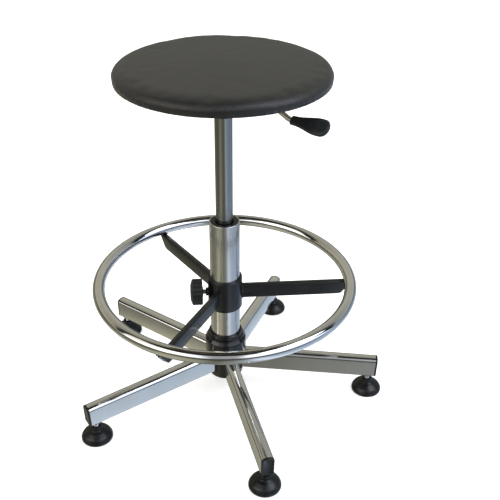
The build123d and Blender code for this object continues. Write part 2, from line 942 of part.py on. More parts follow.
with BuildPart() as tee_nuts:
    with BuildSketch(plate_frame.offset(board_top)):
        with GridLocations(screw_spacing, screw_spacing, 2, 2):
            Circle(tee_flange_radius)
    extrude(amount=-tee_flange)
    with BuildSketch(plate_frame.offset(board_top)):
        with GridLocations(screw_spacing, screw_spacing, 2, 2):
            Circle(tee_barrel_radius)
    extrude(amount=-tee_barrel_height)
    with BuildSketch(plate_frame.offset(board_top)):
        with GridLocations(screw_spacing, screw_spacing, 2, 2):
            Circle(screw_diameter / 2)
    extrude(amount=-tee_barrel_height, mode=Mode.SUBTRACT)
save(tee_nuts, "tee_nuts")
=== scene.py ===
# %% [markdown]
# # A drafting stool
#
# A round padded seat on a gas spring, a chromed footring that slides on the
# column, and a five-armed base on flat glides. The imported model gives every
# size and place. Each step below dresses one part of it: what the part is on
# the real stool, how it could be made, and why this way was chosen.

# %% Load the frame
import json
import math

import bmesh
import bpy
from mathutils import Matrix, Vector, noise


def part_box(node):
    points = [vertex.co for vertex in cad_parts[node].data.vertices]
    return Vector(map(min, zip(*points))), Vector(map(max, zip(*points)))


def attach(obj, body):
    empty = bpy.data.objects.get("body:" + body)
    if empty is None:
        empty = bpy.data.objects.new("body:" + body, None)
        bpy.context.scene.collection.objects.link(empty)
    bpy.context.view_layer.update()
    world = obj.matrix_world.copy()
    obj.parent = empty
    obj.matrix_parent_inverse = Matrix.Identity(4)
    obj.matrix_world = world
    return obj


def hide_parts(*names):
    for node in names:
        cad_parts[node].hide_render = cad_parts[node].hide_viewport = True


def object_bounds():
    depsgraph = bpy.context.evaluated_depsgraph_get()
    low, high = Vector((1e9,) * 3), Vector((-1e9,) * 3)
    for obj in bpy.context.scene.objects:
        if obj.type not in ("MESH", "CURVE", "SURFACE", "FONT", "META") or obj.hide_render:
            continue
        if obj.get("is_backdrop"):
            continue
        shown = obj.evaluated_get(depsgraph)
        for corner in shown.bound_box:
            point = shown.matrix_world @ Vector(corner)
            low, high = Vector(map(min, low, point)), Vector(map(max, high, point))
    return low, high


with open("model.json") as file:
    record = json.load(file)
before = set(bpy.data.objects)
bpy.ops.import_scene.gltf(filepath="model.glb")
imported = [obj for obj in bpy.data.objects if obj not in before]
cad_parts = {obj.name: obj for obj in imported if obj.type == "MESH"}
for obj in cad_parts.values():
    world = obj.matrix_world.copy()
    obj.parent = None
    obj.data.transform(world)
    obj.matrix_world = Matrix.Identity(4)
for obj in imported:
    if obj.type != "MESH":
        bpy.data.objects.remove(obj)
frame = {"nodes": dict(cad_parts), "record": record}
cad_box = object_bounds()
mm = 0.001
turn = 2 * math.pi
up = Vector((0, 0, 1))
print("CAD box", [tuple(round(v, 4) for v in corner) for corner in cad_box])

# %% [markdown]
# ## Helpers
#
# Most parts of a stool are turned or drawn, so one function rounds the
# corners of an outline, one turns an outline about an axis, and one joins a
# row of equal loops into a skin. They give clean quads with known sizes,
# which primitives with modifiers would not.


# %% Outlines and skins
def rounded(points, rounds, closed=True, steps=6):
    """Outline through 2-D points with an arc of its own radius at each corner."""
    if not isinstance(rounds, (list, tuple)):
        rounds = [rounds] * len(points)
    points = [Vector(p) for p in points]
    outline = []
    for i, (corner, radius) in enumerate(zip(points, rounds)):
        at_end = not closed and i in (0, len(points) - 1)
        if radius <= 0 or at_end:
            outline.append(corner)
            continue
        back = (points[i - 1] - corner).normalized()
        ahead = (points[(i + 1) % len(points)] - corner).normalized()
        half = math.acos(max(-1.0, min(1.0, back.dot(ahead)))) / 2
        reach = radius / math.tan(half)
        centre = corner + (back + ahead).normalized() * (radius / math.sin(half))
        first = corner + back * reach - centre
        last = corner + ahead * reach - centre
        swing = first.angle_signed(last)
        for k in range(steps + 1):
            outline.append(centre + Matrix.Rotation(-swing * k / steps, 2) @ first)
    return outline


def mesh_from(bm, name):
    """Merge doubles, point the faces outwards and keep the result as a mesh."""
    bmesh.ops.remove_doubles(bm, verts=bm.verts, dist=1e-6)
    bmesh.ops.recalc_face_normals(bm, faces=bm.faces)
    mesh = bpy.data.meshes.new(name)
    bm.to_mesh(mesh)
    bm.free()
    return mesh


def skin(bm, loops, close_along=False, caps=False):
    """Quads between a row of equal closed loops of points."""
    rows = [[bm.verts.new(p) for p in loop] for loop in loops]
    size = len(rows[0])
    pairs = list(zip(rows, rows[1:]))
    if close_along:
        pairs.append((rows[-1], rows[0]))
    for a, b in pairs:
        for k in range(size):
            m = (k + 1) % size
            bm.faces.new((a[k], a[m], b[m], b[k]))
    if caps:
        bm.faces.new(rows[0])
        bm.faces.new(rows[-1])


def lathe(outline, steps=96, closed=True, place=None, wave=None, bm=None):
    """Turn (radius, height) points about z, then put the result at `place`.

    wave(angle, radius, height) may change the radius, for flutes and gathers.
    """
    bm = bm or bmesh.new()
    place = place or Matrix.Identity(4)
    loops = []
    for radius, height in outline:
        loop = []
        for k in range(steps):
            angle = turn * k / steps
            r = wave(angle, radius, height) if wave else radius
            loop.append(place @ Vector((r * math.cos(angle), r * math.sin(angle), height)))
        loops.append(loop)
    skin(bm, loops, close_along=closed)
    return bm


def scaled(points):
    """Millimetre pairs as metres."""
    return [(r * mm, z * mm) for r, z in points]


print("helpers: rounded, skin, lathe")


# %% Directions on the stool
def outward(degrees):
    """Unit vector from the column axis."""
    a = math.radians(degrees)
    return Vector((math.cos(a), math.sin(a), 0))


def middle(node):
    """Centre of a CAD node's box."""
    low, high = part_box(node)
    return (Vector(low) + Vector(high)) / 2


def bearing(node):
    """Angle of a CAD node about the column, in degrees."""
    centre = middle(node)
    return math.degrees(math.atan2(centre.y, centre.x))


def axes_at(x_axis, y_axis, origin):
    """Matrix whose x, y and z columns are the given axes."""
    z_axis = x_axis.cross(y_axis)
    rotation = Matrix((x_axis, y_axis, z_axis)).transposed()
    return Matrix.Translation(origin) @ rotation.to_4x4()


print("first arm at", round(bearing("base_arm_1"), 1), "degrees")

# %% [markdown]
# ## Finishes
#
# A finish is what the metal, paint or plastic really is and how its surface
# was made. One function turns a hex colour to linear light and one adds a
# node with its settings and links, so each material reads as a short recipe.


# %% Node helper and colours
def linear(code):
    """sRGB hex to linear RGBA."""
    parts = [int(code[i : i + 2], 16) / 255 for i in (1, 3, 5)]
    curve = [c / 12.92 if c <= 0.04045 else ((c + 0.055) / 1.055) ** 2.4 for c in parts]
    return (*curve, 1.0)


def add_node(tree, kind, inputs=None, **settings):
    """Add one node; inputs maps a socket to a value or to an output to link."""
    node = tree.nodes.new(kind)
    for name, value in settings.items():
        setattr(node, name, value)
    for name, value in (inputs or {}).items():
        if isinstance(value, bpy.types.NodeSocket):
            tree.links.new(value, node.inputs[name])
        else:
            node.inputs[name].default_value = value
    return node


def new_finish(name, **values):
    """A material with a Principled shader; returns it, its tree and shader."""
    material = bpy.data.materials.new(name)
    material.use_nodes = True
    tree = material.node_tree
    tree.nodes.clear()
    shader = add_node(tree, "ShaderNodeBsdfPrincipled", values)
    add_node(tree, "ShaderNodeOutputMaterial", {"Surface": shader.outputs[0]})
    return material, tree, shader


noise_roughness = 0.55
contrast = {"From Min": 0.3, "From Max": 0.7}  # noise seldom leaves this range
print("linear, add_node, new_finish")


# %% Finishes that follow a noise pattern
even = (1, 1, 1)


def patterned(name, colours, rough, tone, shine=None, bumps=None, depth=0.0, **values):
    """Finish whose colour, roughness and relief follow noise in object space.

    tone, shine and bumps are the noise behind each: period in mm, detail and
    stretch. Without shine the roughness follows tone. depth is in metres.
    """
    material, tree, shader = new_finish(name, **values)
    place = add_node(tree, "ShaderNodeTexCoord")
    shine = shine or tone
    noise_of = {}
    for pattern in dict.fromkeys(p for p in (tone, shine, bumps) if p):
        period, detail, stretch = pattern
        drawn_out = add_node(
            tree, "ShaderNodeMapping", {"Vector": place.outputs["Object"], "Scale": stretch}
        )
        texture = add_node(
            tree,
            "ShaderNodeTexNoise",
            {
                "Vector": drawn_out.outputs[0],
                "Scale": 1 / (period * mm),
                "Detail": detail,
                "Roughness": noise_roughness,
            },
        )
        noise_of[pattern] = texture.outputs[0]
    share = add_node(tree, "ShaderNodeMapRange", {"Value": noise_of[tone], **contrast})
    colour = add_node(
        tree,
        "ShaderNodeMix",
        {0: share.outputs[0], 6: linear(colours[0]), 7: linear(colours[1])},
        data_type="RGBA",
    )
    tree.links.new(colour.outputs[2], shader.inputs["Base Color"])
    gloss = add_node(
        tree,
        "ShaderNodeMapRange",
        {"Value": noise_of[shine], **contrast, "To Min": rough[0], "To Max": rough[1]},
    )
    tree.links.new(gloss.outputs[0], shader.inputs["Roughness"])
    if bumps:
        bump = add_node(
            tree, "ShaderNodeBump", {"Height": noise_of[bumps], "Distance": depth, "Strength": 1.0}
        )
        tree.links.new(bump.outputs[0], shader.inputs["Normal"])
    return material


print("patterned: noise behind colour, roughness and relief")

# %% [markdown]
# ### Metals
#
# Chrome plate on drawn steel tube is a mirror with a faint blue cast; drawing
# leaves long low waves, and handling leaves a soft haze in patches. The
# column is ground along its length before plating, so its reflections run
# out sideways. Zinc plate is duller and a little blotched.

# %% Metal finishes
# Chrome-plated drawn tube: mirror-like, with low waves some 60 mm long.
chrome = patterned(
    "chrome_plated_drawn_tube",
    ("#cfcfcd", "#d5d6d8"),
    (0.05, 0.13),
    tone=(35, 4, even),
    bumps=(60, 1, even),
    depth=0.22 * mm,
    Metallic=1.0,
)

# Ground and plated steel: fine lines along the column, drawn 1.2 mm apart
# so that they show, though the real grit leaves them 0.2 mm apart.
lengthways = (1, 1, 0.012)
ground_steel = patterned(
    "ground_and_plated_steel",
    ("#c4c4c1", "#cececd"),
    (0.15, 0.27),
    tone=(50, 3, even),
    shine=(1.2, 3, lengthways),
    bumps=(1.2, 3, lengthways),
    depth=0.02 * mm,
    Metallic=1.0,
)

# The gas spring's cylinder is darker, with the same grinding.
dark_steel = patterned(
    "ground_spring_cylinder",
    ("#8c8d8a", "#9b9c9b"),
    (0.14, 0.25),
    tone=(1.0, 3, lengthways),
    bumps=(1.0, 3, lengthways),
    depth=0.015 * mm,
    Metallic=1.0,
)

# Zinc plate is blotched in grey, bearing steel is ground bright, brass is toned.
zinc = patterned("zinc_plated_steel", ("#8f9398", "#b3b6b8"), (0.3, 0.5), (6, 4, even), Metallic=1.0)
hard_steel = patterned(
    "ground_bearing_steel", ("#a4a5a6", "#b5b6b6"), (0.14, 0.26), (2, 2, even), Metallic=1.0
)
brass = patterned("turned_brass", ("#a98a4a", "#c7a763"), (0.24, 0.38), (5, 3, even), Metallic=1.0)
print("metals:", chrome.name, ground_steel.name, dark_steel.name, zinc.name)

# %% [markdown]
# ### Paint, plastic and rubber
#
# The footring frame is powder coated: a dielectric with orange peel a couple
# of millimetres across. Moulded plastics differ by their tool: the hub cover
# comes from a polished one, caps, glides and knob from an etched one.


# %% Black finishes
def black_finish(name, colours, rough, peel, depth, ior, coat=0.0, gloss=0.32):
    """Black dielectric: slow mottling of colour and gloss, and a fine relief."""
    return patterned(
        name,
        colours,
        rough,
        tone=(24, 3, even),
        bumps=(peel, 2, even),
        depth=depth,
        **{
            "IOR": ior,
            "Coat Weight": coat,
            "Coat Roughness": 0.08,
            "Specular IOR Level": gloss,
        },
    )


powder_coat = black_finish(
    "black_powder_coat", ("#0a0b0c", "#101113"), (0.20, 0.30), 2.6, 0.04 * mm, ior=1.5, coat=0.25
)
gloss_abs = black_finish(
    "polished_tool_abs",
    ("#070809", "#0c0d0f"),
    (0.10, 0.18),
    12.0,
    0.03 * mm,
    ior=1.54,
    coat=0.15,
    gloss=0.30,
)
satin_nylon = black_finish(
    "etched_tool_nylon", ("#090b0c", "#101214"), (0.24, 0.36), 1.3, 0.04 * mm, ior=1.53
)
grip_plastic = black_finish(
    "etched_tool_polypropylene", ("#131617", "#1d2021"), (0.34, 0.46), 1.1, 0.06 * mm, ior=1.49
)
acetal = black_finish("moulded_acetal", ("#0e0f10", "#151617"), (0.28, 0.4), 3.0, 0.02 * mm, ior=1.48)
rubber = black_finish("moulded_rubber", ("#121212", "#1b1b1a"), (0.6, 0.75), 1.5, 0.05 * mm, ior=1.52)
print("blacks:", powder_coat.name, gloss_abs.name, satin_nylon.name, grip_plastic.name)

# %% [markdown]
# ### Vinyl and plywood
#
# Upholstery vinyl is embossed with a hide grain: rounded cells about a
# millimetre across with narrow valleys. Cells from a Voronoi texture give the
# valleys and a slow noise breaks their evenness. Plywood shows its veneers
# along its edge and a long grain on its faces; this board is stained dark.

# %% Soft and wooden finishes
# Embossed vinyl. The cells are drawn 2.4 mm wide so that they still show.
vinyl, tree, shader = new_finish("embossed_black_vinyl", IOR=1.5)
shader.inputs["Specular IOR Level"].default_value = 0.4
shader.inputs["Sheen Weight"].default_value = 0.05
shader.inputs["Sheen Roughness"].default_value = 0.5
place = add_node(tree, "ShaderNodeTexCoord")
wobble = add_node(
    tree,
    "ShaderNodeTexNoise",
    {"Vector": place.outputs["Object"], "Scale": 1 / (9 * mm), "Detail": 2.0},
)
bent = add_node(
    tree,
    "ShaderNodeMix",
    {0: 0.0012, 6: place.outputs["Object"], 7: wobble.outputs["Color"]},
    data_type="RGBA",
    blend_type="ADD",
)
cells = add_node(
    tree,
    "ShaderNodeTexVoronoi",
    {"Vector": bent.outputs[2], "Scale": 1 / (2.4 * mm)},
    feature="DISTANCE_TO_EDGE",
)
valleys = add_node(tree, "ShaderNodeMapRange", {"Value": cells.outputs["Distance"], "From Max": 0.16})
patches = add_node(
    tree,
    "ShaderNodeTexNoise",
    {
        "Vector": place.outputs["Object"],
        "Scale": 1 / (70 * mm),
        "Detail": 3,
        "Roughness": noise_roughness,
    },
)
worn = add_node(tree, "ShaderNodeMapRange", {"Value": patches.outputs[0], **contrast})
colour = add_node(
    tree,
    "ShaderNodeMix",
    {0: worn.outputs[0], 6: linear("#0e0e0e"), 7: linear("#161615")},
    data_type="RGBA",
)
tree.links.new(colour.outputs[2], shader.inputs["Base Color"])
gloss = add_node(
    tree,
    "ShaderNodeMapRange",
    {"Value": patches.outputs[0], **contrast, "To Min": 0.28, "To Max": 0.37},
)
tree.links.new(gloss.outputs[0], shader.inputs["Roughness"])
embossing = add_node(
    tree, "ShaderNodeBump", {"Height": valleys.outputs[0], "Distance": 0.14 * mm, "Strength": 1.0}
)
slack_skin = add_node(
    tree,
    "ShaderNodeTexNoise",
    {
        "Vector": place.outputs["Object"],
        "Scale": 1 / (16 * mm),
        "Detail": 4,
        "Roughness": noise_roughness,
    },
)
soft_relief = add_node(
    tree,
    "ShaderNodeBump",
    {
        "Height": slack_skin.outputs[0],
        "Distance": 0.3 * mm,
        "Strength": 1.0,
        "Normal": embossing.outputs[0],
    },
)
tree.links.new(soft_relief.outputs[0], shader.inputs["Normal"])

# Stained birch plywood: five veneers in 9 mm, seen on the edge and underneath.
veneer_pair = 3.4 * mm
plywood, tree, shader = new_finish("birch_plywood", Roughness=0.6, IOR=1.5)
place = add_node(tree, "ShaderNodeTexCoord")
split = add_node(tree, "ShaderNodeSeparateXYZ", {"Vector": place.outputs["Object"]})
veneer = add_node(
    tree, "ShaderNodeMath", {0: split.outputs["Z"], 1: turn / veneer_pair}, operation="MULTIPLY"
)
bands = add_node(tree, "ShaderNodeMath", {0: veneer.outputs[0]}, operation="SINE")
along_grain = add_node(
    tree, "ShaderNodeMapping", {"Vector": place.outputs["Object"], "Scale": (1, 0.06, 1)}
)
fibres = add_node(
    tree,
    "ShaderNodeTexNoise",
    {
        "Vector": along_grain.outputs[0],
        "Scale": 1 / (3 * mm),
        "Detail": 5,
        "Roughness": noise_roughness,
    },
)
both = add_node(
    tree,
    "ShaderNodeMath",
    {0: bands.outputs[0], 1: 0.15, 2: fibres.outputs[0]},
    operation="MULTIPLY_ADD",
)
share = add_node(tree, "ShaderNodeMapRange", {"Value": both.outputs[0], **contrast})
colour = add_node(
    tree,
    "ShaderNodeMix",
    {0: share.outputs[0], 6: linear("#54483a"), 7: linear("#6f6150")},
    data_type="RGBA",
)
tree.links.new(colour.outputs[2], shader.inputs["Base Color"])
raised_grain = add_node(
    tree, "ShaderNodeBump", {"Height": fibres.outputs[0], "Distance": 0.08 * mm, "Strength": 1.0}
)
tree.links.new(raised_grain.outputs[0], shader.inputs["Normal"])
print("soft:", vinyl.name, plywood.name)

# %% Finish of each record slot
finish_of = {
    "chrome_tube": chrome,
    "satin_steel": ground_steel,
    "zinc_steel": zinc,
    "bearing_steel": hard_steel,
    "brass": brass,
    "black_paint": powder_coat,
    "gloss_black": gloss_abs,
    "black_cap": satin_nylon,
    "black_foot": satin_nylon,
    "black_grip": grip_plastic,
    "black_bush": acetal,
    "rubber": rubber,
    "black_vinyl": vinyl,
    "plywood": plywood,
}
slot_of = {part["node"]: part["material_slot"] for part in frame["record"]["subparts"]}
for node, item in frame["nodes"].items():
    for material_slot in item.material_slots:
        material_slot.material = finish_of[slot_of[node]]
print("CAD nodes dressed:", len(frame["nodes"]))


# %% One way to hand a piece over
def place_piece(name, mesh, body, slot, nodes=(), finish=None, sharp=40):
    """Link a mesh as a piece with its material, on its body, and hide the CAD nodes it stands in for.
    """
    if not isinstance(mesh, bpy.types.Mesh):
        mesh = mesh_from(mesh, name)
    mesh.materials.clear()
    mesh.materials.append(finish or finish_of[slot])
    mesh.shade_smooth()
    mesh.set_sharp_from_angle(angle=math.radians(sharp))
    piece = bpy.data.objects.new(name, mesh)
    bpy.context.scene.collection.objects.link(piece)
    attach(piece, body)
    if nodes:
        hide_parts(*nodes)
    print(f"{name}: {len(mesh.polygons)} faces on {body}")
    return piece


# %% [markdown]
# ## Column
#
# The outer tube is 50 mm steel with its mouth rolled to a full round. A black
# bush lines it and guides the cylinder of the gas spring. All of it is turned
# work, so each is one outline on the lathe, closed so that the wall has its
# real thickness.

# %% Tube, bush, cylinder and socket under the seat
tube_low, tube_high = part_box("column_tube")
bush_low, bush_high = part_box("guide_bush")
gas_low, gas_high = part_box("gas_cylinder")
hub_low, hub_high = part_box("hub")
tube_r, tube_bore = tube_high[0], bush_high[0]
foot_r = tube_r - 1.2 * mm
gas_r = gas_high[0]
running = 0.05 * mm

tube = rounded(
    [
        (4 * mm, tube_low[2]),
        (foot_r, tube_low[2]),
        (tube_r, hub_high[2]),
        (tube_r, tube_high[2]),
        (tube_bore, tube_high[2]),
        (tube_bore, hub_high[2]),
        (foot_r - 2 * mm, tube_low[2] + 4 * mm),
        (4 * mm, tube_low[2] + 4 * mm),
    ],
    [0, 0, 0, 0.98 * mm, 0.98 * mm, 0, 0, 0],
)
place_piece("column_tube_ground", lathe(tube, 128), "base", "satin_steel", ["column_tube"])

bush = rounded(
    [
        (gas_r + running, bush_low[2]),
        (tube_bore, bush_low[2]),
        (tube_bore, bush_high[2]),
        (gas_r + running, bush_high[2]),
    ],
    [mm, 0, 1.2 * mm, 3.2 * mm],
)
place_piece("guide_bush_ring", lathe(bush, 96), "base", "black_bush", ["guide_bush"])

boss_low, boss_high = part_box("taper_socket")
boss_r = boss_high[0]
cylinder = rounded(
    [
        (gas_r - 2 * mm, gas_low[2]),
        (gas_r, gas_low[2]),
        (gas_r, boss_low[2]),
        (gas_r - 0.7 * mm, gas_high[2]),
        (gas_r - 2 * mm, gas_high[2]),
    ],
    [0, 1.2 * mm, 0, 0.5 * mm, 0],
)
place_piece(
    "gas_cylinder_ground", lathe(cylinder, 96), "seat", "satin_steel", ["gas_cylinder"], dark_steel
)

boss = rounded(
    [
        (gas_r, boss_low[2]),
        (boss_r - 1.3 * mm, boss_low[2]),
        (boss_r, boss_low[2] + 6 * mm),
        (boss_r, boss_high[2]),
        (gas_r - 0.7 * mm, boss_high[2]),
    ],
    [0.4 * mm, 1.2 * mm, 5 * mm, 0, 0],
)
place_piece("taper_socket_turned", lathe(boss, 72), "seat", "black_paint", ["taper_socket"])

# %% [markdown]
# ## Hub and its cover
#
# The hub is a thick black tube that the five arms are welded to. A stepped
# plastic cover hides the welds: a lip round the column, a step, a sloping
# shoulder and a straight skirt. The steps catch three thin highlights, so
# every edge of the outline has its own small radius.

# %% Hub and cover
hub_r = hub_high[0]
hub = rounded(
    [
        (foot_r, hub_low[2]),
        (hub_r, hub_low[2]),
        (hub_r, hub_high[2]),
        (tube_r, hub_high[2]),
        (foot_r, tube_low[2]),
    ],
    [0.5 * mm, 4 * mm, mm, 0, 0],
)
place_piece("hub_painted", lathe(hub, 96), "base", "black_paint", ["hub"])

cover_low, cover_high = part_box("hub_cover")
cover_r, cover_top = cover_high[0], cover_high[2]
lip_r = tube_r + 4 * mm
cover = rounded(
    [
        (cover_r - 2.5 * mm, cover_low[2]),
        (cover_r, cover_low[2]),
        (cover_r, cover_top - 16 * mm),
        (lip_r + 2.5 * mm, cover_top - 10 * mm),
        (lip_r + 2.5 * mm, cover_top - 8 * mm),
        (lip_r, cover_top - 7 * mm),
        (lip_r, cover_top),
        (tube_r, cover_top),
        (tube_r, hub_high[2] + 0.3 * mm),
        (hub_r, hub_high[2] + 0.3 * mm),
        (cover_r - 2.5 * mm, hub_high[2] - 5.7 * mm),
    ],
    [0.4 * mm, mm, 4 * mm, 0.8 * mm, 0.7 * mm, 0.6 * mm, 2.2 * mm, 0.8 * mm, 0, 0, 0],
)
place_piece("hub_cover_gloss", lathe(cover, 128), "base", "gloss_black", ["hub_cover"], sharp=60)

# %% [markdown]
# ## Arms and end caps
#
# Each arm is one D-shaped tube: flat sides, a softly arched top and small
# radii below. It falls a little towards its tip, where a plastic cap closes
# it. Five equal arms are a rule, so Geometry Nodes makes them: a tree takes
# one arm, a count and a first angle, and turns copies about the column.


# %% A ring of copies by Geometry Nodes
def ring_tree(finish):
    """Tree that sets Count copies of its input round the z axis, from Start."""
    tree = bpy.data.node_groups.new("ring_of_copies", "GeometryNodeTree")
    io = tree.interface
    io.new_socket("Geometry", in_out="INPUT", socket_type="NodeSocketGeometry")
    io.new_socket("Count", in_out="INPUT", socket_type="NodeSocketInt")
    io.new_socket("Start", in_out="INPUT", socket_type="NodeSocketFloat")
    io.new_socket("Radius", in_out="INPUT", socket_type="NodeSocketFloat")
    io.new_socket("Geometry", in_out="OUTPUT", socket_type="NodeSocketGeometry")
    given = add_node(tree, "NodeGroupInput")
    points = add_node(tree, "GeometryNodePoints", {"Count": given.outputs["Count"]})
    index = add_node(tree, "GeometryNodeInputIndex")
    step = add_node(tree, "ShaderNodeMath", {0: turn, 1: given.outputs["Count"]}, operation="DIVIDE")
    angle = add_node(
        tree,
        "ShaderNodeMath",
        {0: index.outputs[0], 1: step.outputs[0], 2: given.outputs["Start"]},
        operation="MULTIPLY_ADD",
    )
    cosine = add_node(tree, "ShaderNodeMath", {0: angle.outputs[0]}, operation="COSINE")
    sine = add_node(tree, "ShaderNodeMath", {0: angle.outputs[0]}, operation="SINE")
    heading = add_node(tree, "ShaderNodeCombineXYZ", {"X": cosine.outputs[0], "Y": sine.outputs[0]})
    offset = add_node(
        tree,
        "ShaderNodeVectorMath",
        {0: heading.outputs[0], "Scale": given.outputs["Radius"]},
        operation="SCALE",
    )
    placed = add_node(
        tree,
        "GeometryNodeSetPosition",
        {"Geometry": points.outputs[0], "Position": offset.outputs[0]},
    )
    twist = add_node(tree, "ShaderNodeCombineXYZ", {"Z": angle.outputs[0]})
    copies = add_node(
        tree,
        "GeometryNodeInstanceOnPoints",
        {
            "Points": placed.outputs[0],
            "Instance": given.outputs["Geometry"],
            "Rotation": twist.outputs[0],
        },
    )
    real = add_node(tree, "GeometryNodeRealizeInstances", {"Geometry": copies.outputs[0]})
    dressed = add_node(
        tree, "GeometryNodeSetMaterial", {"Geometry": real.outputs[0], "Material": finish}
    )
    add_node(tree, "NodeGroupOutput", {"Geometry": dressed.outputs[0]})
    return tree


def ring_of(name, one, count, start, radius, finish):
    """Mesh of `count` copies of one mesh, first at `start` degrees."""
    if not isinstance(one, bpy.types.Mesh):
        one = mesh_from(one, name + "_one")
    holder = bpy.data.objects.new(name + "_holder", one)
    bpy.context.scene.collection.objects.link(holder)
    modifier = holder.modifiers.new("ring", "NODES")
    modifier.node_group = ring_tree(finish)
    wanted = {"Count": count, "Start": math.radians(start), "Radius": float(radius)}
    for item in modifier.node_group.interface.items_tree:
        if item.in_out == "INPUT" and item.name in wanted:
            modifier[item.identifier] = wanted[item.name]
    holder.update_tag()
    graph = bpy.context.evaluated_depsgraph_get()
    mesh = bpy.data.meshes.new_from_object(holder.evaluated_get(graph))
    mesh.name = name
    bpy.data.objects.remove(holder)
    return mesh


# %% One arm and one cap
first_arm = bearing("base_arm_1")
arm_low, arm_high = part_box("base_arm_1")
reach = -arm_low[1]
arm_w, arm_h, arch, wall = arm_high[0] * 2, 36.5 * mm, 8 * mm, 1.5 * mm
axis_z, tip_z = 48.8 * mm, 36.5 * mm
slope = (axis_z - tip_z) / reach


def arm_loop(distance, inset=0.0):
    """D section of an arm at a distance along it, in the plane square to it."""
    half, low, high = arm_w / 2 - inset, inset, arm_h - inset
    spring = arm_h - arch
    corner = max(0.2 * mm, 2 * mm - inset)
    walls_and_floor = rounded(
        [(half, spring), (half, low), (-half, low), (-half, spring)],
        [0, corner, corner, 0],
        closed=False,
    )
    loop = [Vector(p) for p in walls_and_floor]
    rise = high - spring
    for k in range(1, 24):
        a = math.pi - math.pi * k / 24
        # a superellipse: flatter on the crown than a plain arch, fuller at the shoulder
        x, y = math.cos(a), math.sin(a)
        grow = (abs(x) ** 2.35 + abs(y) ** 2.35) ** (-1 / 2.35)
        loop.append(Vector((half * x * grow, spring + rise * y * grow)))
    fall = Vector((1, 0, -slope)).normalized()
    lift = Vector((slope, 0, 1)).normalized()
    return [
        Vector((0, 0, axis_z)) + fall * distance + Vector((0, p.x, 0)) + lift * p.y
        for p in loop
    ]


arm = bmesh.new()
stations = [hub_r - 1.5 * mm] + [hub_r + (reach - hub_r) * k / 8 for k in range(1, 9)]
outer = [arm_loop(d) for d in stations]
inner = [arm_loop(d, wall) for d in reversed(stations)]
skin(arm, outer + inner, close_along=True)
arms = ring_of("base_arms", arm, 5, first_arm, 0, chrome)
place_piece(
    "base_arms_chromed", arms, "base", "chrome_tube", [f"base_arm_{k}" for k in range(1, 6)], sharp=50
)

cap_flange, cap_round = 3.5 * mm, 1.3 * mm
cap = bmesh.new()
rim = [arm_loop(reach), arm_loop(reach + cap_flange - cap_round)]
for k in range(1, 7):
    a = math.pi / 2 * k / 6
    distance = reach + cap_flange - cap_round * (1 - math.sin(a))
    rim.append(arm_loop(distance, cap_round * (1 - math.cos(a))))
# a shallow dished face inside the rim, as these caps have
rim += [
    arm_loop(reach + cap_flange, 2.4 * mm),
    arm_loop(reach + cap_flange - 0.6 * mm, 3.2 * mm),
]
plug_depth, plug_play = 7 * mm, 0.1 * mm
plug = [
    arm_loop(reach - plug_depth, wall + 2 * mm),
    arm_loop(reach - plug_depth, wall + plug_play),
    arm_loop(reach, wall + plug_play),
]
skin(cap, plug + rim, caps=True)
caps = ring_of("arm_caps", cap, 5, first_arm, 0, satin_nylon)
place_piece(
    "arm_caps_moulded", caps, "base", "black_cap", [f"arm_end_cap_{k}" for k in range(1, 6)], sharp=50
)

# %% [markdown]
# ## Weld at the foot of each arm
#
# Each arm is run round with a bead where it meets the hub. A bead is a row of
# overlapping drops, so it is made by copying one low dome along the seam,
# under the edge of the cover where it can be seen from below.

# %% Weld beads
drop = bmesh.new()
bmesh.ops.create_icosphere(drop, subdivisions=2, radius=2.1 * mm)
bead = bmesh.new()
drop_mesh = mesh_from(drop, "drop")
side_heights = [75 * mm - 3.2 * mm * k for k in range(9)]
run = [(-arm_w / 2, z) for z in side_heights]
run += [(-arm_w / 2 + arm_w * k / 7, axis_z - slope * hub_r) for k in range(8)]
run += [(arm_w / 2, z) for z in side_heights]
for y, z in run:
    x = math.sqrt(max(hub_r**2 - y**2, 0))
    shift = Matrix.Translation((x + 0.3 * mm, y, z)) @ Matrix.Diagonal((0.7, 1, 1, 1))
    copy = drop_mesh.copy()
    copy.transform(shift)
    bead.from_mesh(copy)
    bpy.data.meshes.remove(copy)
beads = ring_of("arm_welds", bead, 5, first_arm, 0, powder_coat)
place_piece("arm_welds_painted", beads, "base", "black_paint")

# %% [markdown]
# ## Glides
#
# A glide is a moulded disc with a domed top and a short neck, on a threaded
# steel stem. Each turns on its own, so each is a piece of its own. The thread
# is modelled as rings, because at this size its helix can't be told apart.


# %% Glides and stems
def thread_outline(radius, low, high, pitch=1.5 * mm, depth=0.55 * mm):
    """Outline of a threaded stud, closed at both ends on its axis."""
    points = [(0, low), (radius - depth, low)]
    z = low + 0.2 * mm
    while z + pitch < high:
        points += [(radius - depth, z), (radius, z + pitch * 0.42), (radius, z + pitch * 0.58)]
        z += pitch
    return points + [(radius - depth, high), (0, high)]


